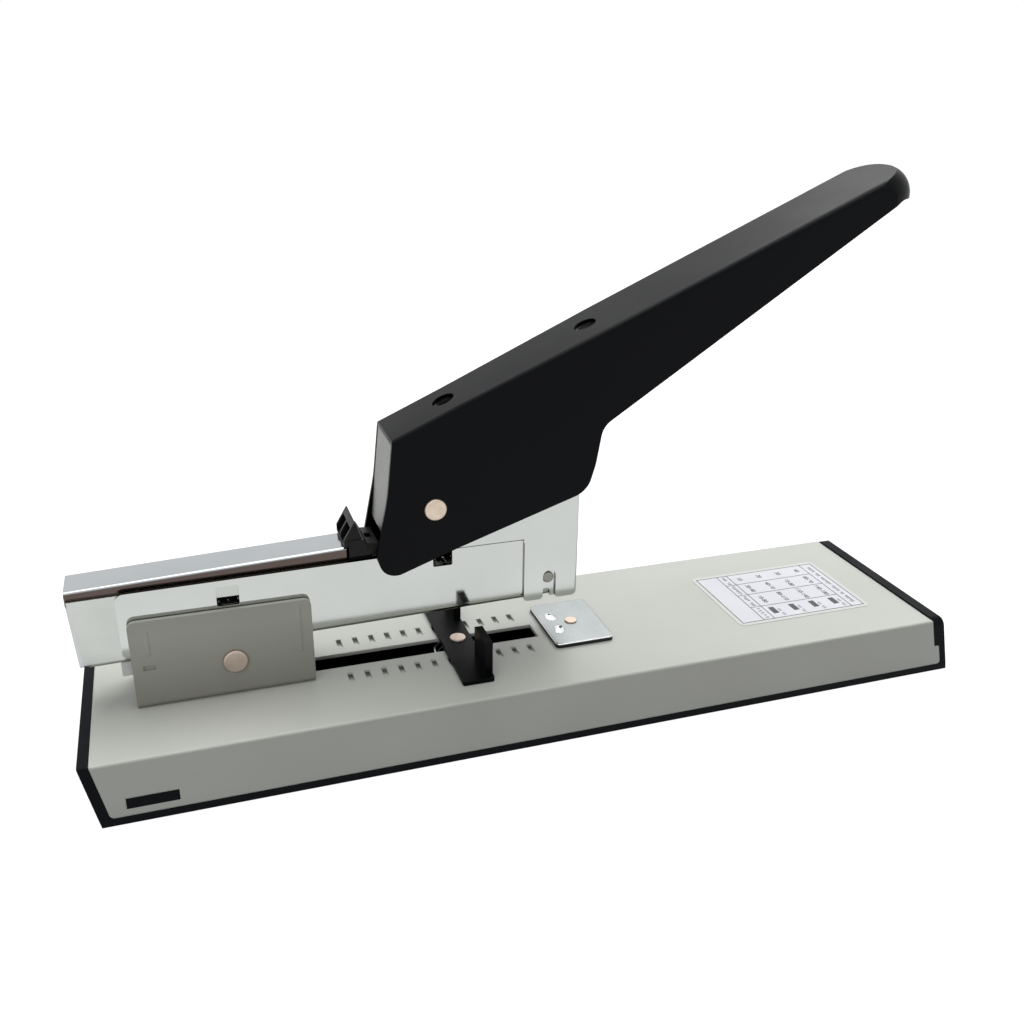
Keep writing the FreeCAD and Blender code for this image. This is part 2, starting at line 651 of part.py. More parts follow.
def make_hinge_bracket():
    """Folded steel bracket: a web on the base and two upright plates that carry the pin."""
    half = BRACKET_HALF_WIDTH
    inner = half - BRACKET_SHEET
    floor = BASE_HEIGHT + BRACKET_SHEET
    section = [(-half, BASE_HEIGHT, 1.8), (half, BASE_HEIGHT, 1.8), (half, BRACKET_TOP_Z),
               (inner, BRACKET_TOP_Z), (inner, floor, 0.5), (-inner, floor, 0.5),
               (-inner, BRACKET_TOP_Z), (-half, BRACKET_TOP_Z)]
    channel = prism_x(section, BRACKET_REAR_X, BRACKET_FRONT_X)
    side_view = [(BRACKET_REAR_X, BASE_HEIGHT), (BRACKET_FRONT_X, BASE_HEIGHT),
                 (BRACKET_FRONT_X, BRACKET_TOP_Z, BRACKET_CORNER),
                 (BRACKET_REAR_X, BRACKET_TOP_Z, BRACKET_CORNER)]
    channel = channel.common(prism_y(side_view, -2 * half, 2 * half))
    channel = channel.cut(slab(BRACKET_WEB_FRONT_X, BRACKET_FRONT_X + 1, inner - 1.0, 0, BASE_HEIGHT + 3))
    ridges = []
    for x, low, high in zip(RIDGE_X, RIDGE_LOW_Z, RIDGE_HIGH_Z):
        depth = RIDGE_RADIUS - RIDGE_PROUD
        ridge = rod_z(x, half - depth, RIDGE_RADIUS, low, high).common(
            block(x - 3, x + 3, half - BRACKET_SHEET / 2, half + 2, low, high))
        ridges += [ridge, mirrored(ridge)]
    lance = block(LANCE_X - LANCE_LENGTH / 2, LANCE_X + LANCE_LENGTH / 2, half - LANCE_DEPTH, half + 1,
                  LANCE_Z - LANCE_HEIGHT / 2, LANCE_Z + LANCE_HEIGHT / 2)
    cuts = [lance, mirrored(lance), rod_y(HINGE_X, HINGE_Z, PIN_RADIUS, -2 * half, 2 * half)]
    for x in BRACKET_RIVET_X:
        for y in (-BRACKET_RIVET_Y, BRACKET_RIVET_Y):
            cuts.append(rod_z(x, y, BRACKET_RIVET_RADIUS, 0, floor + 1))
    return channel.fuse(ridges).cut(cuts).removeSplitter()


def make_bracket_rivets():
    """Four rivets through the web, the cover and the stiffener."""
    rivets = []
    low = COVER_TOP_INNER_Z - STIFFENER_SHEET
    top = BASE_HEIGHT + BRACKET_SHEET
    for x in BRACKET_RIVET_X:
        for y in (-BRACKET_RIVET_Y, BRACKET_RIVET_Y):
            shank = rod_z(x, y, BRACKET_RIVET_RADIUS, low, top)
            head = domed_head_z(x, y, BRACKET_RIVET_RADIUS + 1.1, top, 0.9)
            tail = rod_z(x, y, BRACKET_RIVET_RADIUS + 0.8, low - 0.8, low)
            rivets.append(shank.fuse([head, tail]))
    return Part.makeCompound(rivets)


def make_hinge_pin():
    """Rivet pin of the head, with a low head outside each plate."""
    half = BRACKET_HALF_WIDTH
    pin = rod_y(HINGE_X, HINGE_Z, PIN_RADIUS, -half, half)
    heads = [domed_head_y(HINGE_X, HINGE_Z, PIN_HEAD_RADIUS, side * half, PIN_HEAD_HEIGHT, side)
             for side in (-1, 1)]
    return pin.fuse(heads)


def make_lift_spring():
    """Torsion spring on the hinge pin: a wound sleeve, a leg on the web and a leg under the magazine."""
    coil = rod_y(HINGE_X, HINGE_Z, LIFT_COIL_RADIUS, -LIFT_COIL_HALF_WIDTH, LIFT_COIL_HALF_WIDTH)
    coil = coil.cut(rod_y(HINGE_X, HINGE_Z, PIN_RADIUS + 0.1, -LIFT_COIL_HALF_WIDTH - 1,
                          LIFT_COIL_HALF_WIDTH + 1))
    web_top = BASE_HEIGHT + BRACKET_SHEET
    low_leg = block(HINGE_X + 3.2, HINGE_X + 9.5, -LIFT_COIL_HALF_WIDTH, -LIFT_COIL_HALF_WIDTH + LIFT_WIRE,
                    web_top, web_top + LIFT_WIRE)
    riser = block(HINGE_X + 3.2, HINGE_X + 4.1, -LIFT_COIL_HALF_WIDTH, -LIFT_COIL_HALF_WIDTH + LIFT_WIRE,
                  web_top, HINGE_Z)
    leg_rear = HINGE_X + 1.0
    leg_front = HINGE_X + 16.0
    top_leg = prism_y([(leg_rear, magazine_bottom(leg_rear) - LIFT_WIRE),
                       (leg_front, magazine_bottom(leg_front) - LIFT_WIRE),
                       (leg_front, magazine_bottom(leg_front)), (leg_rear, magazine_bottom(leg_rear))],
                      LIFT_COIL_HALF_WIDTH - LIFT_WIRE, LIFT_COIL_HALF_WIDTH)
    return coil.fuse([low_leg, riser, top_leg]).cut(
        rod_y(HINGE_X, HINGE_Z, PIN_RADIUS + 0.1, -BRACKET_HALF_WIDTH, BRACKET_HALF_WIDTH)).removeSplitter()


def make_tail_stop():
    """White nylon bridge that the tail of the magazine rests on, standing on two feet on the base."""
    rear = BRACKET_REAR_X - TAIL_STOP_OVERHANG
    top = magazine_bottom(rear) - TAIL_GAP
    bridge = slab(rear, rear + TAIL_STOP_LENGTH, TAIL_STOP_HALF_WIDTH, top - TAIL_STOP_HEIGHT, top)
    leg = slab(BRACKET_REAR_X + 0.6, rear + TAIL_STOP_LENGTH, TAIL_STOP_HALF_WIDTH,
               BASE_HEIGHT + BRACKET_SHEET, top - 1)
    return bridge.fuse(leg).removeSplitter()


def make_anvil_plate():
    """Silver anvil with two pressed pockets under the blade; turned round, its plain half lies there."""
    half_x = ANVIL_LENGTH / 2
    half_y = ANVIL_WIDTH / 2
    corners = [(ANVIL_X + sx * half_x, sy * half_y, ANVIL_CORNER)
               for sx, sy in ((-1, -1), (1, -1), (1, 1), (-1, 1))]
    plate = prism_z(corners, ANVIL_LOW_Z, ANVIL_TOP_Z)
    rim = [edge for edge in plate.Edges if edge.CenterOfMass.z > ANVIL_TOP_Z - 1e-6]
    plate = plate.makeFillet(ANVIL_EDGE, rim)
    bore = rod_z(ANVIL_X, 0, ANVIL_RIVET_RADIUS + PIN_CLEARANCE, 0, ANVIL_TOP_Z + 1)
    return plate.cut([bore, anvil_pocket(1), anvil_pocket(-1)])


def anvil_pocket(side):
    """Cutter for one pocket: a sausage with round ends and a curved floor, turned a little."""
    reach = (POCKET_LENGTH - POCKET_WIDTH) / 2
    height = ANVIL_TOP_Z - POCKET_DEPTH + POCKET_WIDTH / 2
    run = Part.makeCylinder(POCKET_WIDTH / 2, 2 * reach, Vector(0, -reach, 0), Vector(0, 1, 0))
    ends = [Part.makeSphere(POCKET_WIDTH / 2, Vector(0, y, 0)) for y in (-reach, reach)]
    pocket = run.fuse(ends)
    pocket.rotate(Vector(0, 0, 0), Vector(0, 0, 1), side * POCKET_TURN)
    pocket.translate(Vector(ANVIL_X - POCKET_OFFSET_X, side * POCKET_SPREAD, height))
    return pocket


def make_anvil_rivet():
    """Stepped rivet that the anvil turns on."""
    low = COVER_TOP_INNER_Z - STIFFENER_SHEET
    head_low = ANVIL_TOP_Z + PIN_CLEARANCE
    shank = rod_z(ANVIL_X, 0, ANVIL_RIVET_RADIUS, low, head_low)
    head = domed_head_z(ANVIL_X, 0, ANVIL_RIVET_HEAD, head_low, ANVIL_RIVET_HEAD_HEIGHT)
    tail = rod_z(ANVIL_X, 0, ANVIL_RIVET_HEAD, low - 0.8, low)
    return shank.fuse([head, tail])


def make_paper_guide():
    """Black sliding cross-bar with an upright ear near each end and a boss in the slot."""
    rear = GUIDE_X - GUIDE_REAR
    front = GUIDE_X + GUIDE_FRONT
    half = GUIDE_HALF_WIDTH
    bar = prism_z([(rear, -half, 0.8), (front, -half, 0.8), (front, half, 0.8), (rear, half, 0.8)],
                  GUIDE_LOW_Z, GUIDE_TOP_Z)
    ear_rear = front - EAR_THICKNESS
    ear_top = GUIDE_TOP_Z + EAR_HEIGHT
    ear = prism_x([(EAR_INNER_Y, GUIDE_TOP_Z), (EAR_OUTER_Y, GUIDE_TOP_Z),
                   (EAR_OUTER_Y, ear_top, 0.6), (EAR_INNER_Y, ear_top, 0.6)], ear_rear, front)
    relief = block(ear_rear + EAR_SHOULDER, front + 1, EAR_INNER_Y + EAR_SHOULDER, EAR_OUTER_Y - EAR_SHOULDER,
                   GUIDE_TOP_Z + EAR_SHOULDER, ear_top - EAR_SHOULDER)
    ear = ear.cut(relief)
    boss = slab(GUIDE_X - GUIDE_BOSS_HALF, GUIDE_X + GUIDE_BOSS_HALF, GUIDE_BOSS_HALF,
                COVER_TOP_INNER_Z, GUIDE_LOW_Z)
    guide = bar.fuse([ear, mirrored(ear), boss])
    return guide.cut(rod_z(GUIDE_X, 0, GUIDE_RIVET_RADIUS, 0, GUIDE_TOP_Z + 1)).removeSplitter()


def make_guide_rivet():
    """Rivet that holds the guide, its spring and the washer together."""
    shank = rod_z(GUIDE_X, 0, GUIDE_RIVET_RADIUS, GUIDE_WASHER_Z, GUIDE_TOP_Z)
    head = domed_head_z(GUIDE_X, 0, GUIDE_RIVET_HEAD, GUIDE_TOP_Z, GUIDE_RIVET_HEAD_HEIGHT)
    tail = rod_z(GUIDE_X, 0, GUIDE_RIVET_HEAD, GUIDE_WASHER_Z - 0.8, GUIDE_WASHER_Z)
    return shank.fuse([head, tail])


def make_guide_washer():
    """Washer under the guide spring."""
    disc = rod_z(GUIDE_X, 0, GUIDE_WASHER_RADIUS, GUIDE_WASHER_Z, GUIDE_WASHER_Z + GUIDE_WASHER_THICKNESS)
    return disc.cut(rod_z(GUIDE_X, 0, GUIDE_RIVET_RADIUS, 0, BASE_HEIGHT))


def make_guide_spring():
    """Conical spring under the cover that presses the guide down on the base."""
    wire = GUIDE_SPRING_WIRE
    low = GUIDE_WASHER_Z + GUIDE_WASHER_THICKNESS + wire / 2 + 0.05
    high = COVER_TOP_INNER_Z - wire / 2 - 0.05
    return conical_spring(GUIDE_X, low, high, GUIDE_SPRING_LOW_RADIUS, GUIDE_SPRING_TOP_RADIUS, wire,
                          GUIDE_SPRING_TURNS)


def magazine_bottom(x):
    """Height of the underside of the magazine, which climbs a little towards the front."""
    share = (x - MAGAZINE_REAR_X) / (MAGAZINE_FRONT_X - MAGAZINE_REAR_X)
    return MAGAZINE_REAR_BOTTOM_Z + (MAGAZINE_FRONT_BOTTOM_Z - MAGAZINE_REAR_BOTTOM_Z) * share


def side_bottom(x):
    """Height of the lower edge of the side plates, which climbs with the magazine."""
    share = (x - SIDE_REAR_X) / (SIDE_FRONT_X - SIDE_REAR_X)
    return SIDE_REAR_BOTTOM_Z + (SIDE_FRONT_BOTTOM_Z - SIDE_REAR_BOTTOM_Z) * share


def channel_section(x):
    """Outline of the magazine channel across its length at one place."""
    half = MAGAZINE_HALF_WIDTH
    inner = half - MAGAZINE_SHEET
    bottom = magazine_bottom(x)
    floor = bottom + MAGAZINE_SHEET
    corners = [(-half, bottom, 1.2), (half, bottom, 1.2), (half, FRAME_TOP_Z), (inner, FRAME_TOP_Z),
               (inner, floor), (-inner, floor), (-inner, FRAME_TOP_Z), (-half, FRAME_TOP_Z)]
    return outline_face(corners, lambda u, v: Vector(x, u, v)).OuterWire


def make_magazine_channel():
    """Chrome channel, open at the top, that the staples stand in."""
    half = MAGAZINE_HALF_WIDTH
    channel = Part.makeLoft([channel_section(MAGAZINE_REAR_X), channel_section(MAGAZINE_FRONT_X)], True, True)
    side_view = [(MAGAZINE_REAR_X + MAGAZINE_TAIL_SLANT, MAGAZINE_REAR_BOTTOM_Z - 1), (MAGAZINE_FRONT_X, 0),
                 (MAGAZINE_FRONT_X, MAGAZINE_FRONT_TOP_Z), (SIDE_MID_X, MAGAZINE_FRONT_TOP_Z),
                 (MAGAZINE_REAR_X, MAGAZINE_REAR_TOP_Z)]
    channel = channel.common(prism_y(side_view, -2 * half, 2 * half))
    cuts = [rod_y(LATCH_PIVOT_X, LATCH_PIVOT_Z, LATCH_PIN_RADIUS, -half - 1, half + 1),
            rod_y(NOSE_RIVET_X, NOSE_RIVET_Z, NOSE_RIVET_RADIUS, -half - 1, half + 1)]
    for window, top in zip((SIDE_WINDOW_REAR, SIDE_WINDOW_FRONT), CHANNEL_WINDOW_TOP_Z):
        low_x, length, low_z = window[:3]
        cuts.append(slab(low_x, low_x + length, half + 1, low_z, top))
    return channel.cut(cuts)


def side_plate():
    """Outer side plate with the hinge lug, two windows and the nose cut-outs, on the far side."""
    lug = LUG_REACH
    lug_rear = HINGE_X - lug - 2
    lug_front = HINGE_X + lug + 2
    corners = [(SIDE_REAR_X, SIDE_REAR_BOTTOM_Z, 1.0), (lug_rear, side_bottom(lug_rear)),
               (HINGE_X - lug, HINGE_Z - lug, lug * 0.8), (HINGE_X + lug, HINGE_Z - lug, lug * 0.8),
               (lug_front, side_bottom(lug_front)), (SIDE_TOE_X, side_bottom(SIDE_TOE_X)),
               (SIDE_TOE_X, SIDE_TOE_Z), (SIDE_FRONT_X, SIDE_TOE_Z),
               (SIDE_FRONT_X, SIDE_FRONT_TOP_Z), (SIDE_MID_X + 1.5, SIDE_FRONT_TOP_Z),
               (SIDE_MID_X, SIDE_MID_TOP_Z), (SIDE_REAR_X, SIDE_REAR_TOP_Z, SIDE_REAR_CORNER)]
    low = MAGAZINE_HALF_WIDTH
    high = low + SIDE_SHEET
    plate = prism_y(corners, low, high)
    cuts = [rod_y(HINGE_X, HINGE_Z, PIN_RADIUS + PIN_CLEARANCE, 0, high + 1),
            rod_y(NOSE_RIVET_X, NOSE_RIVET_Z, NOSE_RIVET_RADIUS, 0, high + 1)]
    for low_x, length, low_z, high_z in (SIDE_WINDOW_REAR, SIDE_WINDOW_FRONT):
        window = [(low_x, low_z, 0.6), (low_x + length, low_z, 0.6), (low_x + length, high_z, 0.6),
                  (low_x, high_z, 0.6)]
        cuts.append(prism_y(window, 0, high + 1))
    notch_front = NOSE_SLOT_REAR_X + NOTCH_WIDTH
    notch = [(NOSE_SLOT_REAR_X, SIDE_TOE_Z - 1), (notch_front, SIDE_TOE_Z - 1),
             (notch_front, NOTCH_TOP_Z, 1.2), (NOSE_SLOT_REAR_X, NOTCH_TOP_Z, 1.2)]
    cuts.append(prism_y(notch, 0, high + 1))
    return plate.cut(cuts)


def make_side_plate_far():
    """Far side plate of the head."""
    return side_plate()


def make_side_plate_near():
    """Near side plate of the head."""
    return mirrored(side_plate())


def make_nose_frame():
    """Folded nose frame: a front wall and two cheeks that run back to the handle pivot."""
    half = FRAME_HALF_WIDTH
    inner = FRAME_INNER_HALF
    slot_front = NOSE_SLOT_REAR_X + NOSE_SLOT_WIDTH
    slot_round = NOSE_SLOT_WIDTH / 2 - 0.05
    cheek = [(FRAME_REAR_X, FRAME_LOW_Z), (NOSE_REAR_X, FRAME_LOW_Z, 1.6),
             (NOSE_REAR_X, NOSE_BOTTOM_Z, NOSE_CORNER), (NOSE_SLOT_REAR_X, NOSE_BOTTOM_Z, NOSE_CORNER),
             (NOSE_SLOT_REAR_X, NOSE_SLOT_TOP_Z, slot_round), (slot_front, NOSE_SLOT_TOP_Z, slot_round),
             (slot_front, NOSE_BOTTOM_Z, 0.8), (FRAME_FRONT_X, NOSE_BOTTOM_Z, NOSE_FRONT_CORNER),
             (FRAME_FRONT_X, FRAME_TOP_Z, 3.0), (PIVOT_X + 6, FRAME_TOP_Z, 8.0),
             (FRAME_REAR_X, FRAME_TOP_Z - 4, 9.0)]
    far = prism_y(cheek, inner, half)
    far = far.cut(rod_y(PIVOT_X, PIVOT_Z, PIN_RADIUS, 0, half + 1))
    wall = slab(FRONT_WALL_REAR_X, FRAME_FRONT_X, inner, NOSE_BOTTOM_Z + NOSE_WALL_LIFT, FRONT_WALL_TOP_Z)
    frame = far.fuse([mirrored(far), wall]).removeSplitter()
    plan = [(FRAME_REAR_X - 1, -half), (FRAME_FRONT_X, -half, FRAME_FOLD_RADIUS),
            (FRAME_FRONT_X, half, FRAME_FOLD_RADIUS), (FRAME_REAR_X - 1, half)]
    return frame.common(prism_z(plan, 0, 200))


def make_front_guide():
    """Hard steel guide that the driver blade slides against, inside the front wall."""
    return slab(FRONT_WALL_REAR_X - FRONT_GUIDE_THICKNESS, FRONT_WALL_REAR_X, MAGAZINE_HALF_WIDTH,
                NOSE_BOTTOM_Z + NOSE_WALL_LIFT, FRONT_WALL_TOP_Z - 0.5)


def make_nose_rivets():
    """Two short rivets that tie the side plates to the magazine at the nose."""
    inner = MAGAZINE_HALF_WIDTH - MAGAZINE_SHEET
    face = MAGAZINE_HALF_WIDTH + SIDE_SHEET
    far = rod_y(NOSE_RIVET_X, NOSE_RIVET_Z, NOSE_RIVET_RADIUS, inner, face)
    head = domed_head_y(NOSE_RIVET_X, NOSE_RIVET_Z, NOSE_RIVET_RADIUS, face, 0.7, 1)
    return both_sides(far.fuse(head).removeSplitter())


def make_handle_pin():
    """Rivet pin that the handle turns on, with a low head outside each flange."""
    half = HANDLE_REAR_HALF + PIN_CLEARANCE
    pin = rod_y(PIVOT_X, PIVOT_Z, PIN_RADIUS, -half, half)
    heads = [domed_head_y(PIVOT_X, PIVOT_Z, HANDLE_HEAD_RADIUS, side * half, PIN_HEAD_HEIGHT, side)
             for side in (-1, 1)]
    return pin.fuse(heads)


def make_staple_rail():
    """Inverted channel that the staples straddle, standing on the magazine floor."""
    rear_floor = magazine_bottom(RAIL_REAR_X) + MAGAZINE_SHEET
    front_floor = magazine_bottom(MAGAZINE_FRONT_X) + MAGAZINE_SHEET
    outer = prism_y([(RAIL_REAR_X, rear_floor), (MAGAZINE_FRONT_X, front_floor),
                     (MAGAZINE_FRONT_X, RAIL_TOP_Z), (RAIL_REAR_X, RAIL_TOP_Z)],
                    -RAIL_HALF_WIDTH, RAIL_HALF_WIDTH)
    inner = slab(RAIL_REAR_X - 1, MAGAZINE_FRONT_X + 1, RAIL_HALF_WIDTH - RAIL_SHEET, rear_floor - 1,
                 RAIL_TOP_Z - RAIL_SHEET)
    return outer.cut(inner)


def cover_body(inset, rear_x, front_x, low_z):
    """Solid under the loading cover's top, with the folded edges rounded."""
    half = COVER_HALF_WIDTH - inset
    radius = max(COVER_BEND_RADIUS - inset, 0.2)
    rise = (COVER_FRONT_Z - COVER_REAR_Z) / (COVER_FRONT_X - COVER_REAR_X)
    sections = []
    for x in (rear_x, front_x):
        top = COVER_REAR_Z + rise * (x - COVER_REAR_X) - inset
        corners = [(-half, low_z), (half, low_z), (half, top, radius), (-half, top, radius)]
        sections.append(outline_face(corners, lambda u, v, x=x: Vector(x, u, v)).OuterWire)
    return Part.makeLoft(sections, True, True)


def make_loading_cover():
    """Chrome cover over the rear of the magazine with an end plate that carries the pusher rod."""
    outer = cover_body(0.0, COVER_REAR_X, COVER_FRONT_X, COVER_SKIRT_Z)
    hollow = cover_body(COVER_SHEET, COVER_REAR_X + COVER_SHEET, COVER_FRONT_X + 1, COVER_SKIRT_Z - 1)
    foot_x = COVER_REAR_X + COVER_END_SLANT
    end_plate = prism_y([(COVER_REAR_X, COVER_SKIRT_Z + 1), (foot_x, COVER_END_LOW_Z),
                         (foot_x + COVER_END_SHEET, COVER_END_LOW_Z),
                         (COVER_REAR_X + COVER_END_SHEET, COVER_SKIRT_Z + 1)],
                        -COVER_HALF_WIDTH, COVER_HALF_WIDTH)
    rod_hole = rod_x(0, ROD_Z, ROD_RADIUS, COVER_REAR_X - 1, COVER_REAR_X + 3)
    return outer.cut(hollow).fuse(end_plate).cut(rod_hole).removeSplitter()


def make_pusher_rod():
    """Rod from the end plate to the nose that the pusher and its spring slide on."""
    rod = rod_x(0, ROD_Z, ROD_RADIUS, COVER_REAR_X, ROD_FRONT_X)
    collar = rod_x(0, ROD_Z, COLLAR_RADIUS, COVER_REAR_X + COLLAR_REAR, COVER_REAR_X + COLLAR_FRONT)
    return rod.fuse(collar)


def make_pusher():
    """Steel block that straddles the rail and pushes the staples forward."""
    front = MAGAZINE_FRONT_X - PUSHER_GAP
    rear = front - PUSHER_LENGTH
    low = MAGAZINE_FRONT_BOTTOM_Z + MAGAZINE_SHEET + 0.3
    outer = slab(rear, front, PUSHER_HALF_WIDTH, low, PUSHER_TOP_Z)
    outer = outer.cut(slab(rear - 1, front + 1, RAIL_HALF_WIDTH + 0.2, low - 1, RAIL_TOP_Z + 0.3))
    return outer.cut(rod_x(0, ROD_Z, ROD_RADIUS + PIN_CLEARANCE, rear - 1, front + 1))


def make_pusher_spring():
    """Compression spring between the rod's collar and the pusher."""
    rear = COVER_REAR_X + 2.6
    front = MAGAZINE_FRONT_X - PUSHER_GAP - PUSHER_LENGTH
    outer = rod_x(0, ROD_Z, SPRING_OUTER_RADIUS, rear, front)
    return outer.cut(rod_x(0, ROD_Z, SPRING_INNER_RADIUS, rear - 1, front + 1))


def make_latch():
    """Black catch: a hooked body between the walls, a block over them and a hollow thumb fin."""
    pivot_x = LATCH_PIVOT_X
    pivot_z = LATCH_PIVOT_Z
    shelf = LATCH_SHELF_Z
    rear = COVER_FRONT_X + 0.6
    body = prism_y([(rear, shelf + 0.5), (rear, 58.0), (pivot_x - 2.2, pivot_z - 1.0, 1.5),
                    (pivot_x + 2.2, pivot_z - 1.8, 2.0), (LATCH_FRONT_X - 2.0, 58.0),
                    (LATCH_FRONT_X - 2.0, shelf + 1.0)], -LATCH_HALF_WIDTH, LATCH_HALF_WIDTH)
    cap = prism_y([(rear, shelf), (pivot_x, shelf), (LATCH_FRONT_X, shelf + 0.6),
                   (LATCH_FRONT_X, LATCH_BLOCK_TOP_Z - 0.3), (pivot_x + 1.0, LATCH_BLOCK_TOP_Z),
                   (pivot_x, LATCH_BLOCK_TOP_Z + 1.8), (rear, LATCH_BLOCK_TOP_Z + 1.8)],
                  -LATCH_BLOCK_HALF_WIDTH, LATCH_BLOCK_HALF_WIDTH)
    fin_low = COVER_FRONT_Z + 0.35
    fin_neck_z = LATCH_FIN_TOP_Z - 2.8
    fin = prism_y([(LATCH_FIN_REAR_X, fin_low), (pivot_x - 0.6, fin_low),
                   (pivot_x - 0.6, LATCH_BLOCK_TOP_Z + 1.9), (LATCH_FIN_TOP_X + 0.9, fin_neck_z),
                   (LATCH_FIN_TOP_X, LATCH_FIN_TOP_Z, 0.25), (LATCH_FIN_REAR_X, fin_low + 2.3)],
                  -LATCH_FIN_HALF_WIDTH, LATCH_FIN_HALF_WIDTH)
    pocket = prism_y([(LATCH_FIN_REAR_X - 1, LATCH_POCKET_FLOOR_Z),
                      (LATCH_FIN_TOP_X + 0.9, LATCH_POCKET_FLOOR_Z), (LATCH_FIN_TOP_X - 0.4, fin_neck_z),
                      (LATCH_FIN_REAR_X - 1, LATCH_FIN_TOP_Z)],
                     LATCH_POCKET_RIB / 2, LATCH_FIN_HALF_WIDTH - LATCH_POCKET_RIB * 0.8)
    outside = LATCH_BLOCK_HALF_WIDTH + 0.1
    bevel = prism_x([(LATCH_BLOCK_HALF_WIDTH - 1.2, LATCH_BLOCK_TOP_Z + 0.1),
                     (outside, LATCH_BLOCK_TOP_Z + 0.1), (outside, shelf + 1.2)],
                    pivot_x + 1.0, LATCH_FRONT_X + 1)
    well = slab(pivot_x + 1.4, LATCH_FRONT_X - 1.2, 1.6, LATCH_BLOCK_TOP_Z - 1.6, LATCH_BLOCK_TOP_Z + 1)
    slot = slab(pivot_x - 3.4, LATCH_FRONT_X + 1, LATCH_SLOT_HALF_WIDTH, 50, pivot_z + 3.4)
    bore = rod_y(pivot_x, pivot_z, LATCH_PIN_RADIUS + PIN_CLEARANCE, -10, 10)
    cuts = [pocket, mirrored(pocket), bevel, mirrored(bevel), well, slot, bore]
    return body.fuse([cap, fin]).cut(cuts).removeSplitter()


def make_latch_pin():
    """Pin of the catch, held in the magazine walls."""
    return rod_y(LATCH_PIVOT_X, LATCH_PIVOT_Z, LATCH_PIN_RADIUS, -MAGAZINE_HALF_WIDTH, MAGAZINE_HALF_WIDTH)


def make_latch_spring():
    """Small wound sleeve on the catch's pin."""
    half = LATCH_SLOT_HALF_WIDTH
    coil = rod_y(LATCH_PIVOT_X, LATCH_PIVOT_Z, LATCH_PIN_RADIUS + 0.8, -half, half)
    bore = rod_y(LATCH_PIVOT_X, LATCH_PIVOT_Z, LATCH_PIN_RADIUS + PIN_CLEARANCE, -half - 1, half + 1)
    return coil.cut(bore)


def handle_top(x):
    """Height of the handle's top face."""
    return HANDLE_REAR_TOP_Z + HANDLE_RISE * (x - HANDLE_REAR_X)


def handle_side_view():
    """Outline of the handle's flanges."""
    rear_top = (HANDLE_REAR_X, handle_top(HANDLE_REAR_X), HANDLE_REAR_ROUND)
    past_tip = HANDLE_TIP_X + 1
    return [rear_top] + list(HANDLE_FLANGE) + [(past_tip, HANDLE_TIP_LOW_Z), (past_tip, handle_top(past_tip))]


def handle_body(inset):
    """Solid lever, narrow and crisp at the pivot, wider and rounder at the grip."""
    stations = [(HANDLE_REAR_X - 15, HANDLE_REAR_HALF, HANDLE_REAR_EDGE),
                (HANDLE_FLARE_X, HANDLE_REAR_HALF, HANDLE_REAR_EDGE),
                (HANDLE_MID_X, HANDLE_MID_HALF, HANDLE_MID_EDGE),
                (HANDLE_TIP_X + 5, HANDLE_TIP_HALF, HANDLE_GRIP_EDGE)]
    sections = []
    for x, outer_half, edge in stations:
        half = outer_half - inset
        top = handle_top(x) - inset * math.sqrt(1 + HANDLE_RISE ** 2)
        radius = max(edge - inset, 0.4)
        corners = [(-half, top - 90), (half, top - 90), (half, top, radius), (-half, top, radius)]
        sections.append(outline_face(corners, lambda u, v, x=x: Vector(x, u, v)).OuterWire)
    body = Part.makeLoft(sections, True, True)
    upright = prism_z(handle_plan(inset), 0, HANDLE_DOME_Z)
    return body.common(upright.fuse(tip_dome(inset)))


def handle_plan(inset):
    """Outline of the handle seen from above, with the tip's two corners rounded."""
    tip = HANDLE_TIP_X - inset
    half = HANDLE_TIP_HALF - inset + HANDLE_PLAN_MARGIN
    corner = HANDLE_TIP_CORNER - inset
    rear = HANDLE_REAR_X - 20
    return [(rear, -half), (tip, -half, corner), (tip, half, corner), (rear, half)]


def tip_dome(inset):
    """Solid over the upright part of the tip that draws in by a quarter round to its top."""
    radius = HANDLE_DOME_RADIUS - inset
    sections = []
    for step in range(HANDLE_DOME_STEPS + 1):
        angle = math.pi / 2 * step / HANDLE_DOME_STEPS
        z = HANDLE_DOME_Z + radius * math.sin(angle)
        drawn = handle_plan(inset + radius * (1 - math.cos(angle)))
        sections.append(outline_face(drawn, lambda u, v, z=z: Vector(u, v, z)).OuterWire)
    return Part.makeLoft(sections, True)


def make_handle_shell():
    """Black sheet-steel lever: a top, two deep flanges and a rounded tip."""
    sheet = HANDLE_SHEET
    wide = HANDLE_TIP_HALF * 2
    outer = handle_body(0.0).common(prism_y(handle_side_view(), -wide, wide))
    drop = sheet * math.sqrt(1 + HANDLE_RISE ** 2)
    rear = HANDLE_REAR_X - 12
    tip = HANDLE_TIP_X
    hollow_side = [(rear, 20), (tip, 20), (tip, handle_top(tip) - drop), (rear, handle_top(rear) - drop)]
    hollow = handle_body(sheet).common(prism_y(hollow_side, -wide, wide))
    shell = outer.cut(hollow)
    cuts = [rod_y(PIVOT_X, PIVOT_Z, PIN_RADIUS + PIN_CLEARANCE, -HANDLE_TIP_HALF, HANDLE_TIP_HALF)]
    cuts += handle_holes(HANDLE_HOLE_RADIUS)
    return shell.cut(cuts).removeSplitter()


def handle_holes(radius):
    """Cutters for the two holes down through the top of the handle, square to it."""
    slope = math.atan(HANDLE_RISE)
    normal = Vector(-math.sin(slope), 0, math.cos(slope))
    depth = HANDLE_SHEET + LEVER_SHEET + 1.0
    feet = [Vector(x, 0, handle_top(x)) - normal * depth for x in HANDLE_HOLE_X]
    return [Part.makeCylinder(radius, depth + 2, foot, normal) for foot in feet]


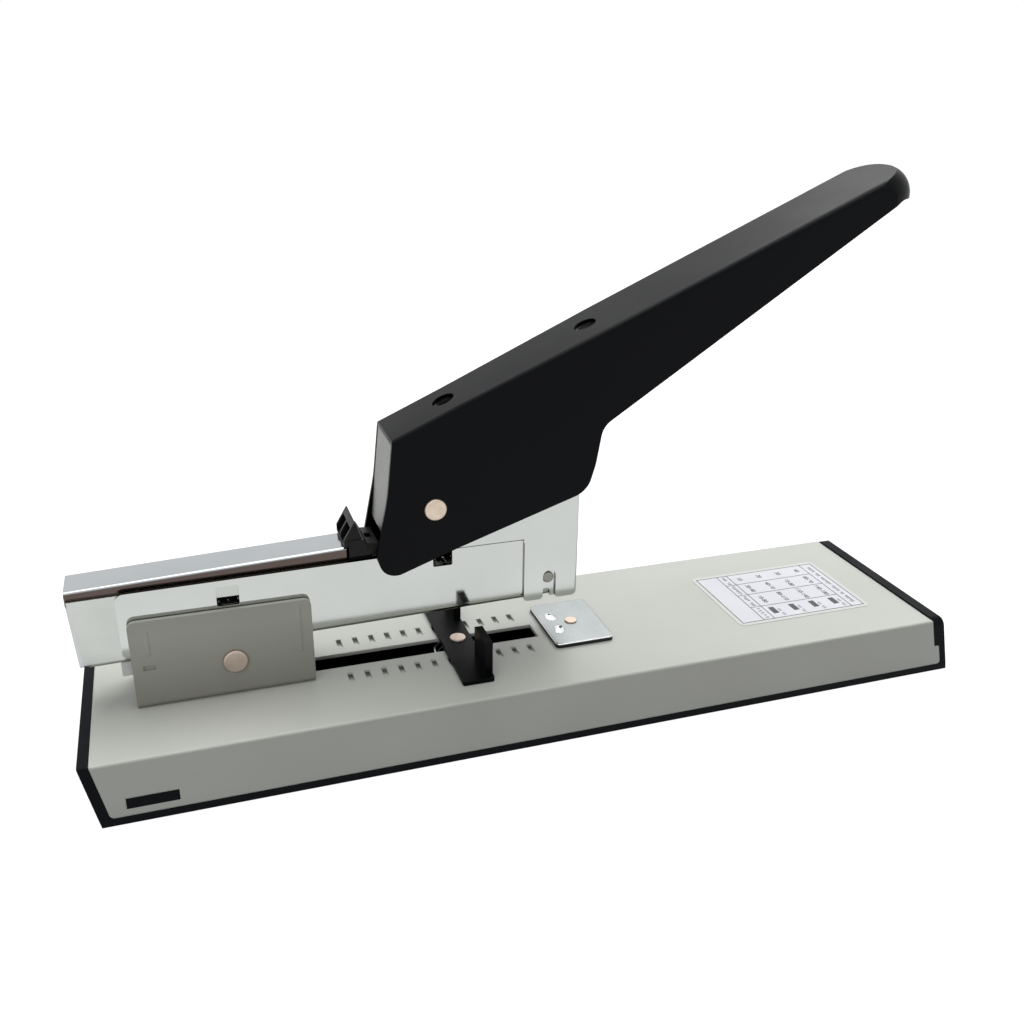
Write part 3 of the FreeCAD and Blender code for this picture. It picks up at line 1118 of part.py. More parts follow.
def make_rear_plate():
    """Bare steel plate that closes the rear of the handle between its flanges."""
    top = handle_top(HANDLE_REAR_X) - HANDLE_SHEET * math.sqrt(1 + HANDLE_RISE ** 2)
    waist_x, waist_z = HANDLE_FLANGE[0][:2]
    lean = (HANDLE_REAR_X - waist_x) / (HANDLE_REAR_TOP_Z - waist_z)
    low = REAR_PLATE_LOW_Z

    def rear_x(z):
        return HANDLE_REAR_X - lean * (HANDLE_REAR_TOP_Z - z) + 0.1

    front_top_x = rear_x(top) + REAR_PLATE_SHEET
    return prism_y([(rear_x(low), low), (rear_x(low) + REAR_PLATE_SHEET, low),
                    (front_top_x, top + HANDLE_RISE * (front_top_x - HANDLE_REAR_X)),
                    (rear_x(top), top + HANDLE_RISE * (rear_x(top) - HANDLE_REAR_X))],
                   -REAR_PLATE_HALF_WIDTH, REAR_PLATE_HALF_WIDTH)


def lever_top(x, depth):
    """Height of a line at one depth under the handle's top face."""
    return handle_top(x) - depth * math.sqrt(1 + HANDLE_RISE ** 2)


def make_inner_lever():
    """Steel inner lever screwed under the handle's top; its plates carry the pivot and the roller."""
    top_gap = HANDLE_SHEET
    reach = 4.9
    outline = [(LEVER_REAR_X, lever_top(LEVER_REAR_X, top_gap)), (LEVER_REAR_X, 74.0, 4.0),
               (PIVOT_X - 5, PIVOT_Z - reach - 1.0, 4.0), (PIVOT_X + 5, PIVOT_Z - reach - 1.0, 4.0),
               (ROLLER_X - 3.6, ROLLER_Z - 4.6, 2.0), (ROLLER_X + 3.4, ROLLER_Z - 3.9, 3.0),
               (ROLLER_X + 9.0, ROLLER_Z + 6.0, 6.0), (LEVER_FRONT_X, lever_top(LEVER_FRONT_X, 6.0), 2.0),
               (LEVER_FRONT_X, lever_top(LEVER_FRONT_X, top_gap))]
    outer = prism_y(outline, -LEVER_HALF_WIDTH, LEVER_HALF_WIDTH)
    inner_half = LEVER_HALF_WIDTH - LEVER_SHEET
    under = top_gap + LEVER_SHEET
    rear = LEVER_REAR_X - 5
    front = LEVER_FRONT_X + 5
    hollow = [(rear, 40), (front, 40), (front, lever_top(front, under)), (rear, lever_top(rear, under))]
    lever = outer.cut(prism_y(hollow, -inner_half, inner_half))
    cuts = [rod_y(PIVOT_X, PIVOT_Z, PIN_RADIUS + PIN_CLEARANCE, -10, 10),
            rod_y(ROLLER_X, ROLLER_Z, AXLE_RADIUS, -10, 10)]
    cuts += handle_holes(HANDLE_HOLE_RADIUS + 0.6)
    return lever.cut(cuts)


def make_press_roller():
    """Roller that pushes the driver down."""
    roller = rod_y(ROLLER_X, ROLLER_Z, ROLLER_RADIUS, -ROLLER_HALF_WIDTH, ROLLER_HALF_WIDTH)
    return roller.cut(rod_y(ROLLER_X, ROLLER_Z, AXLE_RADIUS + PIN_CLEARANCE, -10, 10))


def make_roller_axle():
    """Axle of the roller, long enough to lift the driver carrier by its slots."""
    return rod_y(ROLLER_X, ROLLER_Z, AXLE_RADIUS, -AXLE_HALF_LENGTH, AXLE_HALF_LENGTH)


def make_handle_spring():
    """Wound sleeve on the handle pin that lifts the handle again."""
    coil = rod_y(PIVOT_X, PIVOT_Z, HANDLE_COIL_RADIUS, -HANDLE_COIL_HALF_WIDTH, HANDLE_COIL_HALF_WIDTH)
    return coil.cut(rod_y(PIVOT_X, PIVOT_Z, PIN_RADIUS + 0.02, -10, 10))


def make_driver_blade():
    """Hardened blade that drives the staple."""
    return slab(BLADE_REAR_X, BLADE_FRONT_X, BLADE_HALF_WIDTH, BLADE_LOW_Z, CARRIER_LOW_Z + CARRIER_BRIDGE)


def make_driver_carrier():
    """Carrier on top of the blade: a bridge, a hard pad for the roller and two slotted cheeks."""
    front = BLADE_REAR_X
    bridge_top = CARRIER_LOW_Z + CARRIER_BRIDGE
    pad_top = ROLLER_Z - ROLLER_RADIUS - 0.15
    half = CARRIER_HALF_WIDTH
    bridge = slab(ROLLER_X - 2.0, front, half, CARRIER_LOW_Z, bridge_top)
    pad = slab(ROLLER_X - 3.6, front, CARRIER_PAD_HALF_WIDTH, bridge_top - 0.4, pad_top)
    cheek = prism_y([(ROLLER_X - 2.0, CARRIER_LOW_Z), (front, CARRIER_LOW_Z), (front, CARRIER_TOP_Z, 2.0),
                     (CARRIER_REAR_X - 0.6, CARRIER_TOP_Z, 2.0), (CARRIER_REAR_X - 0.6, ROLLER_Z - 5.0, 1.5)],
                    half - CARRIER_CHEEK, half)
    play = CARRIER_SLOT_PLAY
    radius = AXLE_RADIUS + play
    slot = prism_y([(ROLLER_X - radius, ROLLER_Z - radius, 1.5),
                    (ROLLER_X + CARRIER_SLOT_FRONT + AXLE_RADIUS, ROLLER_Z - radius, 1.5),
                    (ROLLER_X + CARRIER_SLOT_FRONT + AXLE_RADIUS, ROLLER_Z + radius, 1.5),
                    (ROLLER_X - radius, ROLLER_Z + radius, 1.5)], -20, 20)
    carrier = bridge.fuse([pad, cheek, mirrored(cheek)]).cut(slot)
    return carrier.removeSplitter()


NODES = {
    "base_cover": make_base_cover, "base_tray": make_base_tray, "rubber_feet": make_rubber_feet,
    "base_posts": make_base_posts, "base_screws": make_base_screws, "base_stiffener": make_base_stiffener,
    "chart_label": make_chart_label, "hinge_bracket": make_hinge_bracket,
    "bracket_rivets": make_bracket_rivets, "hinge_pin": make_hinge_pin, "lift_spring": make_lift_spring,
    "tail_stop": make_tail_stop, "anvil_plate": make_anvil_plate, "anvil_rivet": make_anvil_rivet,
    "paper_guide": make_paper_guide, "guide_rivet": make_guide_rivet, "guide_washer": make_guide_washer,
    "guide_spring": make_guide_spring, "magazine_channel": make_magazine_channel,
    "side_plate_near": make_side_plate_near, "side_plate_far": make_side_plate_far,
    "nose_frame": make_nose_frame, "front_guide": make_front_guide, "nose_rivets": make_nose_rivets,
    "handle_pin": make_handle_pin, "staple_rail": make_staple_rail, "loading_cover": make_loading_cover,
    "pusher_rod": make_pusher_rod, "pusher": make_pusher, "pusher_spring": make_pusher_spring,
    "latch": make_latch, "latch_pin": make_latch_pin, "latch_spring": make_latch_spring,
    "handle_shell": make_handle_shell, "inner_lever": make_inner_lever,
    "rear_plate": make_rear_plate, "press_roller": make_press_roller,
    "roller_axle": make_roller_axle, "handle_spring": make_handle_spring,
    "driver_blade": make_driver_blade, "driver_carrier": make_driver_carrier,
}

for name, make in NODES.items():
    shape = make()
    print("%-18s solids %d valid %s volume %.1f" % (name, len(shape.Solids), shape.isValid(), shape.Volume))
    shape.exportStep("parts/%s.step" % name)
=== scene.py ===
"""Looks of a heavy-duty desk stapler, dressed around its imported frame.

Lengths are metres, in the frame of the CAD model: +X towards the grip, +Y away from the camera, +Z up.
"""
from __future__ import annotations

import logging
import math
from dataclasses import dataclass, field
from enum import Enum
from typing import Any, Callable

import bmesh
import bpy
from mathutils import Matrix, Vector

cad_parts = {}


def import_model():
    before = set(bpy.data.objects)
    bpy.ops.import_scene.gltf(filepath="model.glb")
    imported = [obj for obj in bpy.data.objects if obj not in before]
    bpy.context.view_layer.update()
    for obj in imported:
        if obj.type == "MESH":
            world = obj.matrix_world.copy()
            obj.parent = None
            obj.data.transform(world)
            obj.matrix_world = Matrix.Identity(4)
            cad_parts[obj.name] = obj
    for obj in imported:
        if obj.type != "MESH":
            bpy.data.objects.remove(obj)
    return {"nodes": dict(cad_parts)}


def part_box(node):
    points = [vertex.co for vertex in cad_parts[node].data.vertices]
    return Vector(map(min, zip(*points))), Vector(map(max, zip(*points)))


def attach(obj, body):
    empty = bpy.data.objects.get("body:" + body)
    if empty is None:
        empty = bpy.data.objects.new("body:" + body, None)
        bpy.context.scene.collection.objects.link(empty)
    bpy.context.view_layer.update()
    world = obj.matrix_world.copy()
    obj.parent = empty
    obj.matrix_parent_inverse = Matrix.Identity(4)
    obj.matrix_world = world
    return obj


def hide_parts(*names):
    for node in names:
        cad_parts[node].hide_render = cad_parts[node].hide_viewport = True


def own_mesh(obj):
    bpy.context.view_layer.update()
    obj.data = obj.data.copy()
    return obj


LOG = logging.getLogger("stapler")
MM = 0.001
# Blender's noise keeps mostly between these two values.
NOISE_MIDDLE = (0.3, 0.7)
Colour = tuple[float, float, float, float]
Span = tuple[float, float]
Tree = bpy.types.NodeTree
Socket = bpy.types.NodeSocket
Shape = bmesh.types.BMesh


def linear_colour(code: str) -> Colour:
    """Turns an sRGB hex colour to linear light.

    Args:
        code: six hex digits after a hash mark.

    Returns:
        Red, green, blue and an alpha of one.
    """
    channels = [int(code[place:place + 2], 16) / 255 for place in (1, 3, 5)]
    red, green, blue = [c / 12.92 if c <= 0.04045 else ((c + 0.055) / 1.055) ** 2.4
                        for c in channels]
    return (red, green, blue, 1.0)


def add_node(tree: Tree, kind: str, settings: dict[Any, Any] | None = None,
             links: dict[Any, Socket] | None = None) -> bpy.types.Node:
    """Adds a shader node with its settings and links.

    Args:
        tree: the node tree that it joins.
        kind: Blender's name for the node type.
        settings: values for its properties, in lower case, or for its inputs, by name or number.
        links: sockets that feed its inputs, by name or number.

    Returns:
        The new node.
    """
    node = tree.nodes.new(kind)
    for name, value in (settings or {}).items():
        if isinstance(name, str) and name[0].islower():
            setattr(node, name, value)
        else:
            node.inputs[name].default_value = value
    for name, socket in (links or {}).items():
        tree.links.new(socket, node.inputs[name])
    return node


class Lay(Enum):
    """Which way the marks of working run on bare metal."""

    ALONG = "drawn along X"
    RINGS_Y = "faced about an axis across Y"
    RINGS_Z = "faced about an upright axis"
    NONE = "tumbled, with no direction"


@dataclass(frozen=True)
class Finish:
    """A finish: two close colours, a gloss and the relief that the maker's process leaves."""

    name: str
    colour: str
    second: str
    roughness: float
    mottle_mm: float = 12.0
    metallic: float = 0.0
    ior: float = 1.5
    specular: float = 0.5
    grain_mm: float = 0.5
    grain_deep_mm: float = 0.002
    edge_mm: float = 0.25
    handled_share: float = 0.6
    handled_gloss: Span = (0.85, 1.15)

    def material(self) -> bpy.types.Material:
        """Makes the material once and hands back the same one afterwards."""
        made = bpy.data.materials.get(self.name)
        if made:
            return made
        made = bpy.data.materials.new(self.name)
        made.use_nodes = True
        tree = made.node_tree
        tree.nodes.clear()
        shader = add_node(tree, "ShaderNodeBsdfPrincipled", {
            "Metallic": self.metallic, "IOR": self.ior, "Specular IOR Level": self.specular})
        add_node(tree, "ShaderNodeOutputMaterial", links={"Surface": shader.outputs["BSDF"]})
        place = add_node(tree, "ShaderNodeTexCoord").outputs["Object"]
        tree.links.new(self.tint(tree, place), shader.inputs["Base Color"])
        tree.links.new(self.gloss(tree, place), shader.inputs["Roughness"])
        eased = add_node(tree, "ShaderNodeBevel", {"samples": 4, "Radius": self.edge_mm * MM})
        tree.links.new(self.relief(tree, place, eased.outputs["Normal"]), shader.inputs["Normal"])
        return made

    def noise(self, tree: Tree, place: Socket, size_mm: float, detail: float = 3.0) -> Socket:
        """Soft noise whose features are one real size across.

        Args:
            tree: the node tree that it joins.
            place: where on the piece it is read.
            size_mm: size of a feature, in millimetres.
            detail: how many finer layers it carries.

        Returns:
            A socket from 0 to 1.
        """
        node = add_node(tree, "ShaderNodeTexNoise", {"Scale": 1 / (size_mm * MM), "Detail": detail},
                        {"Vector": place})
        return node.outputs["Fac"]

    def spread(self, tree: Tree, value: Socket, low: float, high: float) -> Socket:
        """Stretches the middle of a noise to a range of values.

        Args:
            tree: the node tree that it joins.
            value: the noise.
            low: what its low end becomes.
            high: what its high end becomes.

        Returns:
            A socket of the values.
        """
        node = add_node(tree, "ShaderNodeMapRange", {
            "From Min": NOISE_MIDDLE[0], "From Max": NOISE_MIDDLE[1], "To Min": low, "To Max": high},
            {"Value": value})
        return node.outputs["Result"]

    def facing(self, tree: Tree) -> Any:
        """Which way the surface looks, as sockets of X, Y and Z."""
        normal = add_node(tree, "ShaderNodeTexCoord").outputs["Normal"]
        return add_node(tree, "ShaderNodeSeparateXYZ", links={0: normal}).outputs

    def tint(self, tree: Tree, place: Socket) -> Socket:
        """The colour, which drifts slowly between the finish's two.

        Args:
            tree: the node tree that it joins.
            place: where on the piece it is read.

        Returns:
            A colour socket.
        """
        drift = self.spread(tree, self.noise(tree, place, self.mottle_mm), 0.0, 1.0)
        mix = add_node(tree, "ShaderNodeMix", {"data_type": "RGBA", 6: linear_colour(self.colour),
                                               7: linear_colour(self.second)}, {0: drift})
        return mix.outputs[2]

    def gloss(self, tree: Tree, place: Socket) -> Socket:
        """The roughness, a little uneven as handling leaves it.

        Args:
            tree: the node tree that it joins.
            place: where on the piece it is read.

        Returns:
            A socket of roughness.
        """
        handled = self.noise(tree, place, self.mottle_mm * self.handled_share, 5.0)
        smooth, dull = self.handled_gloss
        return self.spread(tree, handled, self.roughness * smooth, self.roughness * dull)

    def relief(self, tree: Tree, place: Socket, normal: Socket) -> Socket:
        """The grain of the surface, over eased edges.

        Args:
            tree: the node tree that it joins.
            place: where on the piece it is read.
            normal: the surface's normal before it.

        Returns:
            A socket of normals.
        """
        grain = self.noise(tree, place, self.grain_mm, 2.0)
        bump = add_node(tree, "ShaderNodeBump", {
            "Strength": 1.0, "Distance": self.grain_deep_mm * MM}, {"Height": grain, "Normal": normal})
        return bump.outputs["Normal"]


@dataclass(frozen=True)
class Enamel(Finish):
    """Baked enamel on sheet steel. Spraying leaves a faint orange peel and a few specks of dust."""

    peel_mm: float = 1.6
    speck_mm: float = 2.2
    speck_share: float = 0.24
    speck_wide: Span = (0.02, 0.08)
    dust: str = "#3A3A36"
    peel_deep_mm: float = 0.008

    def tint(self, tree: Tree, place: Socket) -> Socket:
        """The slow drift of the coat, with sparse specks a shade darker.

        Args:
            tree: the node tree that it joins.
            place: where on the piece it is read.

        Returns:
            A colour socket.
        """
        base = super().tint(tree, place)
        cells = add_node(tree, "ShaderNodeTexVoronoi", {"Scale": 1 / (self.speck_mm * MM)},
                         {"Vector": place})
        specks = add_node(tree, "ShaderNodeMapRange", {
            "From Min": self.speck_wide[0], "From Max": self.speck_wide[1],
            "To Min": self.speck_share, "To Max": 0.0}, {"Value": cells.outputs["Distance"]})
        mix = add_node(tree, "ShaderNodeMix", {"data_type": "RGBA", 7: linear_colour(self.dust)},
                       {0: specks.outputs["Result"], 6: base})
        return mix.outputs[2]

    def relief(self, tree: Tree, place: Socket, normal: Socket) -> Socket:
        """Orange peel under the fine grain.

        Args:
            tree: the node tree that it joins.
            place: where on the piece it is read.
            normal: the surface's normal before it.

        Returns:
            A socket of normals.
        """
        peel = self.noise(tree, place, self.peel_mm, 1.0)
        bump = add_node(tree, "ShaderNodeBump", {"Strength": 1.0, "Distance": self.peel_deep_mm * MM},
                        {"Height": peel, "Normal": normal})
        return super().relief(tree, place, bump.outputs["Normal"])


@dataclass(frozen=True)
class BareMetal(Finish):
    """Rolled, drawn or plated metal. Working leaves fine lines or rings, and plate is never flat."""

    metallic: float = 1.0
    lay: Lay = Lay.NONE
    centre_mm: tuple[float, float, float] = (0.0, 0.0, 0.0)
    line_mm: float = 0.35
    line_deep_mm: float = 0.003
    wave_mm: float = 24.0
    wave_deep_mm: float = 0.02
    drawn_stretch: float = 0.02
    tumbled_coarser: float = 3.0
    marked_gloss: Span = (0.8, 1.25)

    def marks(self, tree: Tree, place: Socket) -> Socket:
        """Lines or rings of working, drawn coarser than real ones so that they show.

        Args:
            tree: the node tree that it joins.
            place: where on the piece it is read.

        Returns:
            A socket from 0 to 1.
        """
        if self.lay is Lay.NONE:
            return self.noise(tree, place, self.line_mm * self.tumbled_coarser, 4.0)
        if self.lay is Lay.ALONG:
            stretched = add_node(tree, "ShaderNodeMapping", {"Scale": (self.drawn_stretch, 1.0, 1.0)},
                                 {"Vector": place})
            return self.noise(tree, stretched.outputs["Vector"], self.line_mm, 3.0)
        flat = (1.0, 0.0, 1.0) if self.lay is Lay.RINGS_Y else (1.0, 1.0, 0.0)
        middle = tuple(value * MM for value in self.centre_mm)
        offset = add_node(tree, "ShaderNodeVectorMath", {"operation": "SUBTRACT", 1: middle},
                          {0: place})
        across = add_node(tree, "ShaderNodeVectorMath", {"operation": "MULTIPLY", 1: flat},
                          {0: offset.outputs["Vector"]})
        radius = add_node(tree, "ShaderNodeVectorMath", {"operation": "LENGTH"},
                          {0: across.outputs["Vector"]})
        per_metre = 2 * math.pi / (self.line_mm * MM)
        rings = add_node(tree, "ShaderNodeMath", {"operation": "MULTIPLY", 1: per_metre},
                         {0: radius.outputs["Value"]})
        wave = add_node(tree, "ShaderNodeMath", {"operation": "SINE"}, {0: rings.outputs["Value"]})
        half = add_node(tree, "ShaderNodeMath", {"operation": "MULTIPLY_ADD", 1: 0.5, 2: 0.5},
                        {0: wave.outputs["Value"]})
        return half.outputs["Value"]

    def gloss(self, tree: Tree, place: Socket) -> Socket:
        """The roughness, a little higher along the marks.

        Args:
            tree: the node tree that it joins.
            place: where on the piece it is read.

        Returns:
            A socket of roughness.
        """
        smooth, dull = self.marked_gloss
        return self.spread(tree, self.marks(tree, place), self.roughness * smooth,
                           self.roughness * dull)

    def relief(self, tree: Tree, place: Socket, normal: Socket) -> Socket:
        """The slow waves of thin sheet, and the marks of working over them.

        Args:
            tree: the node tree that it joins.
            place: where on the piece it is read.
            normal: the surface's normal before it.

        Returns:
            A socket of normals.
        """
        waves = add_node(tree, "ShaderNodeBump", {
            "Strength": 1.0, "Distance": self.wave_deep_mm * MM},
            {"Height": self.noise(tree, place, self.wave_mm, 1.0), "Normal": normal})
        lines = add_node(tree, "ShaderNodeBump", {
            "Strength": 1.0, "Distance": self.line_deep_mm * MM},
            {"Height": self.marks(tree, place), "Normal": waves.outputs["Normal"]})
        return lines.outputs["Normal"]


@dataclass(frozen=True)
class SkirtedPlate(BareMetal):
    """Plated sheet whose folded skirts carry a painted brown shade, for the shade of the gap beside the
    magazine's walls.
    """

    # Painted shade: a brown colour for the shade in the gap beside the magazine's walls.
    skirt_shade: str = "#564C48"
    low_mm: float = 55.0
    blur_mm: float = 0.3
    upright: Span = (0.80, 0.97)

    def tint(self, tree: Tree, place: Socket) -> Socket:
        """The plate's colour, and the painted skirt shade on high faces that look sideways.

        Args:
            tree: the node tree that it joins.
            place: where on the piece it is read.

        Returns:
            A colour socket.
        """
        plate = super().tint(tree, place)
        height = add_node(tree, "ShaderNodeSeparateXYZ", links={0: place}).outputs["Z"]
        high = add_node(tree, "ShaderNodeMapRange", {
            "From Min": (self.low_mm - self.blur_mm) * MM, "From Max": (self.low_mm + self.blur_mm) * MM},
            {"Value": height})
        sideways = add_node(tree, "ShaderNodeMath", {"operation": "ABSOLUTE"},
                            {0: self.facing(tree)["Y"]})
        share = add_node(tree, "ShaderNodeMapRange", {
            "From Min": self.upright[0], "From Max": self.upright[1]},
            {"Value": sideways.outputs["Value"]})
        both = add_node(tree, "ShaderNodeMath", {"operation": "MULTIPLY"},
                        {0: share.outputs["Result"], 1: high.outputs["Result"]})
        # Painted shade: the skirt colour darkens the cover's high faces that look sideways.
        mix = add_node(tree, "ShaderNodeMix", {"data_type": "RGBA", 7: linear_colour(self.skirt_shade)},
                       {0: both.outputs["Value"], 6: plate})
        return mix.outputs[2]


@dataclass(frozen=True)
class BandedPlate(BareMetal):
    """Plated channel whose lowest band, outside the side plates, carries a painted dull grey for the
    shaded base top that it reflects.
    """

    # Painted shade: a dull grey that stands for the shaded base top reflected in the band.
    band_shade: str = "#7E8178"
    band_top_mm: float = 40.05
    slope: float = 0.0186
    band_rear_mm: float = -128.0
    line_blur_mm: float = 0.1
    rear_blur_mm: float = 0.5

    def tint(self, tree: Tree, place: Socket) -> Socket:
        """The plate's colour, and the painted grey shade under the slanting line of the side plates.

        Args:
            tree: the node tree that it joins.
            place: where on the piece it is read.

        Returns:
            A colour socket.
        """
        plate = super().tint(tree, place)
        axes = add_node(tree, "ShaderNodeSeparateXYZ", links={0: place}).outputs
        level = add_node(tree, "ShaderNodeMath", {"operation": "MULTIPLY_ADD", 1: -self.slope},
                         {0: axes["X"], 2: axes["Z"]})
        under = add_node(tree, "ShaderNodeMapRange", {
            "From Min": (self.band_top_mm + self.line_blur_mm) * MM,
            "From Max": (self.band_top_mm - self.line_blur_mm) * MM},
            {"Value": level.outputs["Value"]})
        ahead = add_node(tree, "ShaderNodeMapRange", {
            "From Min": (self.band_rear_mm - self.rear_blur_mm) * MM,
            "From Max": (self.band_rear_mm + self.rear_blur_mm) * MM}, {"Value": axes["X"]})
        both = add_node(tree, "ShaderNodeMath", {"operation": "MULTIPLY"},
                        {0: under.outputs["Result"], 1: ahead.outputs["Result"]})
        mix = add_node(tree, "ShaderNodeMix", {"data_type": "RGBA", 7: linear_colour(self.band_shade)},
                       {0: both.outputs["Value"], 6: plate})
        return mix.outputs[2]


@dataclass(frozen=True)
class ShearedPlate(BareMetal):
    """Plated sheet drawn with dark lines on its edges and a painted shadow line under the plate that laps
    over, with a slight lean.
    """

    dark_edge: str = "#6A6A66"
    wall_mm: float = 12.35
    # Where the painted shadow line lies: its height and its front end, in millimetres.
    seam_mm: Span = (59.3, -5.2)
    seam_wide_mm: float = 0.28
    lean: float = 0.068
    upright: Span = (0.6, 0.4)
    blur_mm: float = 0.05
    seam_end_blur_mm: float = 0.1

    def tint(self, tree: Tree, place: Socket) -> Socket:
        """The plate's colour, and a dark grey on its edges, but not on a folded front wall.

        Args:
            tree: the node tree that it joins.
            place: where on the piece it is read.

        Returns:
            A colour socket.
        """
        plate = super().tint(tree, place)
        sideways = add_node(tree, "ShaderNodeMath", {"operation": "ABSOLUTE"},
                            {0: self.facing(tree)["Y"]})
        edge = add_node(tree, "ShaderNodeMapRange", {
            "From Min": self.upright[0], "From Max": self.upright[1]},
            {"Value": sideways.outputs["Value"]})
        axes = add_node(tree, "ShaderNodeSeparateXYZ", links={0: place}).outputs
        behind = add_node(tree, "ShaderNodeMapRange", {
            "From Min": (self.wall_mm + self.blur_mm) * MM,
            "From Max": (self.wall_mm - self.blur_mm) * MM}, {"Value": axes["X"]})
        both = add_node(tree, "ShaderNodeMath", {"operation": "MULTIPLY"},
                        {0: edge.outputs["Result"], 1: behind.outputs["Result"]})
        # Dark grey on faces that do not look along Y, and the painted shadow line of the seam.
        either = add_node(tree, "ShaderNodeMath", {"operation": "MAXIMUM"},
                          {0: both.outputs["Value"], 1: self.seam_shadow(tree, axes)})
        mix = add_node(tree, "ShaderNodeMix", {"data_type": "RGBA", 7: linear_colour(self.dark_edge)},
                       {0: either.outputs["Value"], 6: plate})
        return mix.outputs[2]

    def seam_shadow(self, tree: Tree, axes: Any) -> Socket:
        """A painted shadow line under the lower edge of the plate that laps over, behind the nose.

        Args:
            tree: the node tree that it joins.
            axes: sockets of the place's X, Y and Z.

        Returns:
            A socket from 0 to 1.
        """
        level_mm, front_mm = self.seam_mm
        # Painted shadow: a dark line where the lapping plate's lower edge meets the plate under it.
        off = add_node(tree, "ShaderNodeMath", {"operation": "SUBTRACT", 1: level_mm * MM},
                       {0: axes["Z"]})
        size = add_node(tree, "ShaderNodeMath", {"operation": "ABSOLUTE"}, {0: off.outputs["Value"]})
        line = add_node(tree, "ShaderNodeMapRange", {
            "From Min": (self.seam_wide_mm + self.blur_mm) * MM, "From Max": self.seam_wide_mm * MM},
            {"Value": size.outputs["Value"]})
        behind = add_node(tree, "ShaderNodeMapRange", {
            "From Min": (front_mm + self.seam_end_blur_mm) * MM,
            "From Max": (front_mm - self.seam_end_blur_mm) * MM}, {"Value": axes["X"]})
        both = add_node(tree, "ShaderNodeMath", {"operation": "MULTIPLY"},
                        {0: line.outputs["Result"], 1: behind.outputs["Result"]})
        return both.outputs["Value"]

    def relief(self, tree: Tree, place: Socket, normal: Socket) -> Socket:
        """The waves and marks over a lean that turns the plates a little towards the table.

        Args:
            tree: the node tree that it joins.
            place: where on the piece it is read.
            normal: the surface's normal before it.

        Returns:
            A socket of normals.
        """
        height = add_node(tree, "ShaderNodeSeparateXYZ", links={0: place}).outputs["Z"]
        tilt = add_node(tree, "ShaderNodeBump", {"Strength": 1.0, "Distance": self.lean},
                        {"Height": height, "Normal": normal})
        return super().relief(tree, place, tilt.outputs["Normal"])


@dataclass(frozen=True)
class Burnished(BareMetal):
    """Tumbled plate, satin on top, burnished bright in its pockets and dark on its sheared sides."""

    top_mm: float = 22.0
    bright: str = "#F2F4F5"
    rim: str = "#3A3A38"
    pocket_mm: Span = (0.04, 0.14)
    steep: Span = (0.4, 0.2)
    bright_roughness: float = 0.16

    def depth(self, tree: Tree, place: Socket) -> Socket:
        """Nought on the top face and one a tenth of a millimetre under it.

        Args:
            tree: the node tree that it joins.
            place: where on the piece it is read.

        Returns:
            A socket from 0 to 1.
        """
        height = add_node(tree, "ShaderNodeSeparateXYZ", links={0: place}).outputs["Z"]
        share = add_node(tree, "ShaderNodeMapRange", {
            "From Min": (self.top_mm - self.pocket_mm[0]) * MM,
            "From Max": (self.top_mm - self.pocket_mm[1]) * MM}, {"Value": height})
        return share.outputs["Result"]

    def tint(self, tree: Tree, place: Socket) -> Socket:
        """The satin colour, brighter below the top face, and dark on the sheared sides.

        Args:
            tree: the node tree that it joins.
            place: where on the piece it is read.

        Returns:
            A colour socket.
        """
        worn = add_node(tree, "ShaderNodeMix", {"data_type": "RGBA", 7: linear_colour(self.bright)},
                        {0: self.depth(tree, place), 6: super().tint(tree, place)})
        side = add_node(tree, "ShaderNodeMapRange", {
            "From Min": self.steep[0], "From Max": self.steep[1]}, {"Value": self.facing(tree)["Z"]})
        mix = add_node(tree, "ShaderNodeMix", {"data_type": "RGBA", 7: linear_colour(self.rim)},
                       {0: side.outputs["Result"], 6: worn.outputs[2]})
        return mix.outputs[2]

    def gloss(self, tree: Tree, place: Socket) -> Socket:
        """The satin roughness, smoother below the top face.

        Args:
            tree: the node tree that it joins.
            place: where on the piece it is read.

        Returns:
            A socket of roughness.
        """
        mix = add_node(tree, "ShaderNodeMix", {3: self.bright_roughness},
                       {0: self.depth(tree, place), 2: super().gloss(tree, place)})
        return mix.outputs[0]


@dataclass(frozen=True)
class StampedEnamel(Enamel):
    """Enamel on a stamped plate, with painted shade in the deep end of each stamped mark."""

    # Painted shade for the deep ends of the stamped marks.
    pit_shade: str = "#3C3D38"
    top_mm: float = 20.4
    pit_mm: Span = (0.42, 0.56)
    level: Span = (0.80, 0.90)

    def tint(self, tree: Tree, place: Socket) -> Socket:
        """The coat's colour, with painted shade on faces that look up from below the top.

        Args:
            tree: the node tree that it joins.
            place: where on the piece it is read.

        Returns:
            A colour socket.
        """
        height = add_node(tree, "ShaderNodeSeparateXYZ", links={0: place}).outputs["Z"]
        deep = add_node(tree, "ShaderNodeMapRange", {
            "From Min": (self.top_mm - self.pit_mm[0]) * MM,
            "From Max": (self.top_mm - self.pit_mm[1]) * MM}, {"Value": height})
        upward = add_node(tree, "ShaderNodeMapRange", {
            "From Min": self.level[0], "From Max": self.level[1]}, {"Value": self.facing(tree)["Z"]})
        both = add_node(tree, "ShaderNodeMath", {"operation": "MULTIPLY"},
                        {0: deep.outputs["Result"], 1: upward.outputs["Result"]})
        mix = add_node(tree, "ShaderNodeMix", {"data_type": "RGBA", 7: linear_colour(self.pit_shade)},
                       {0: both.outputs["Value"], 6: super().tint(tree, place)})
        return mix.outputs[2]


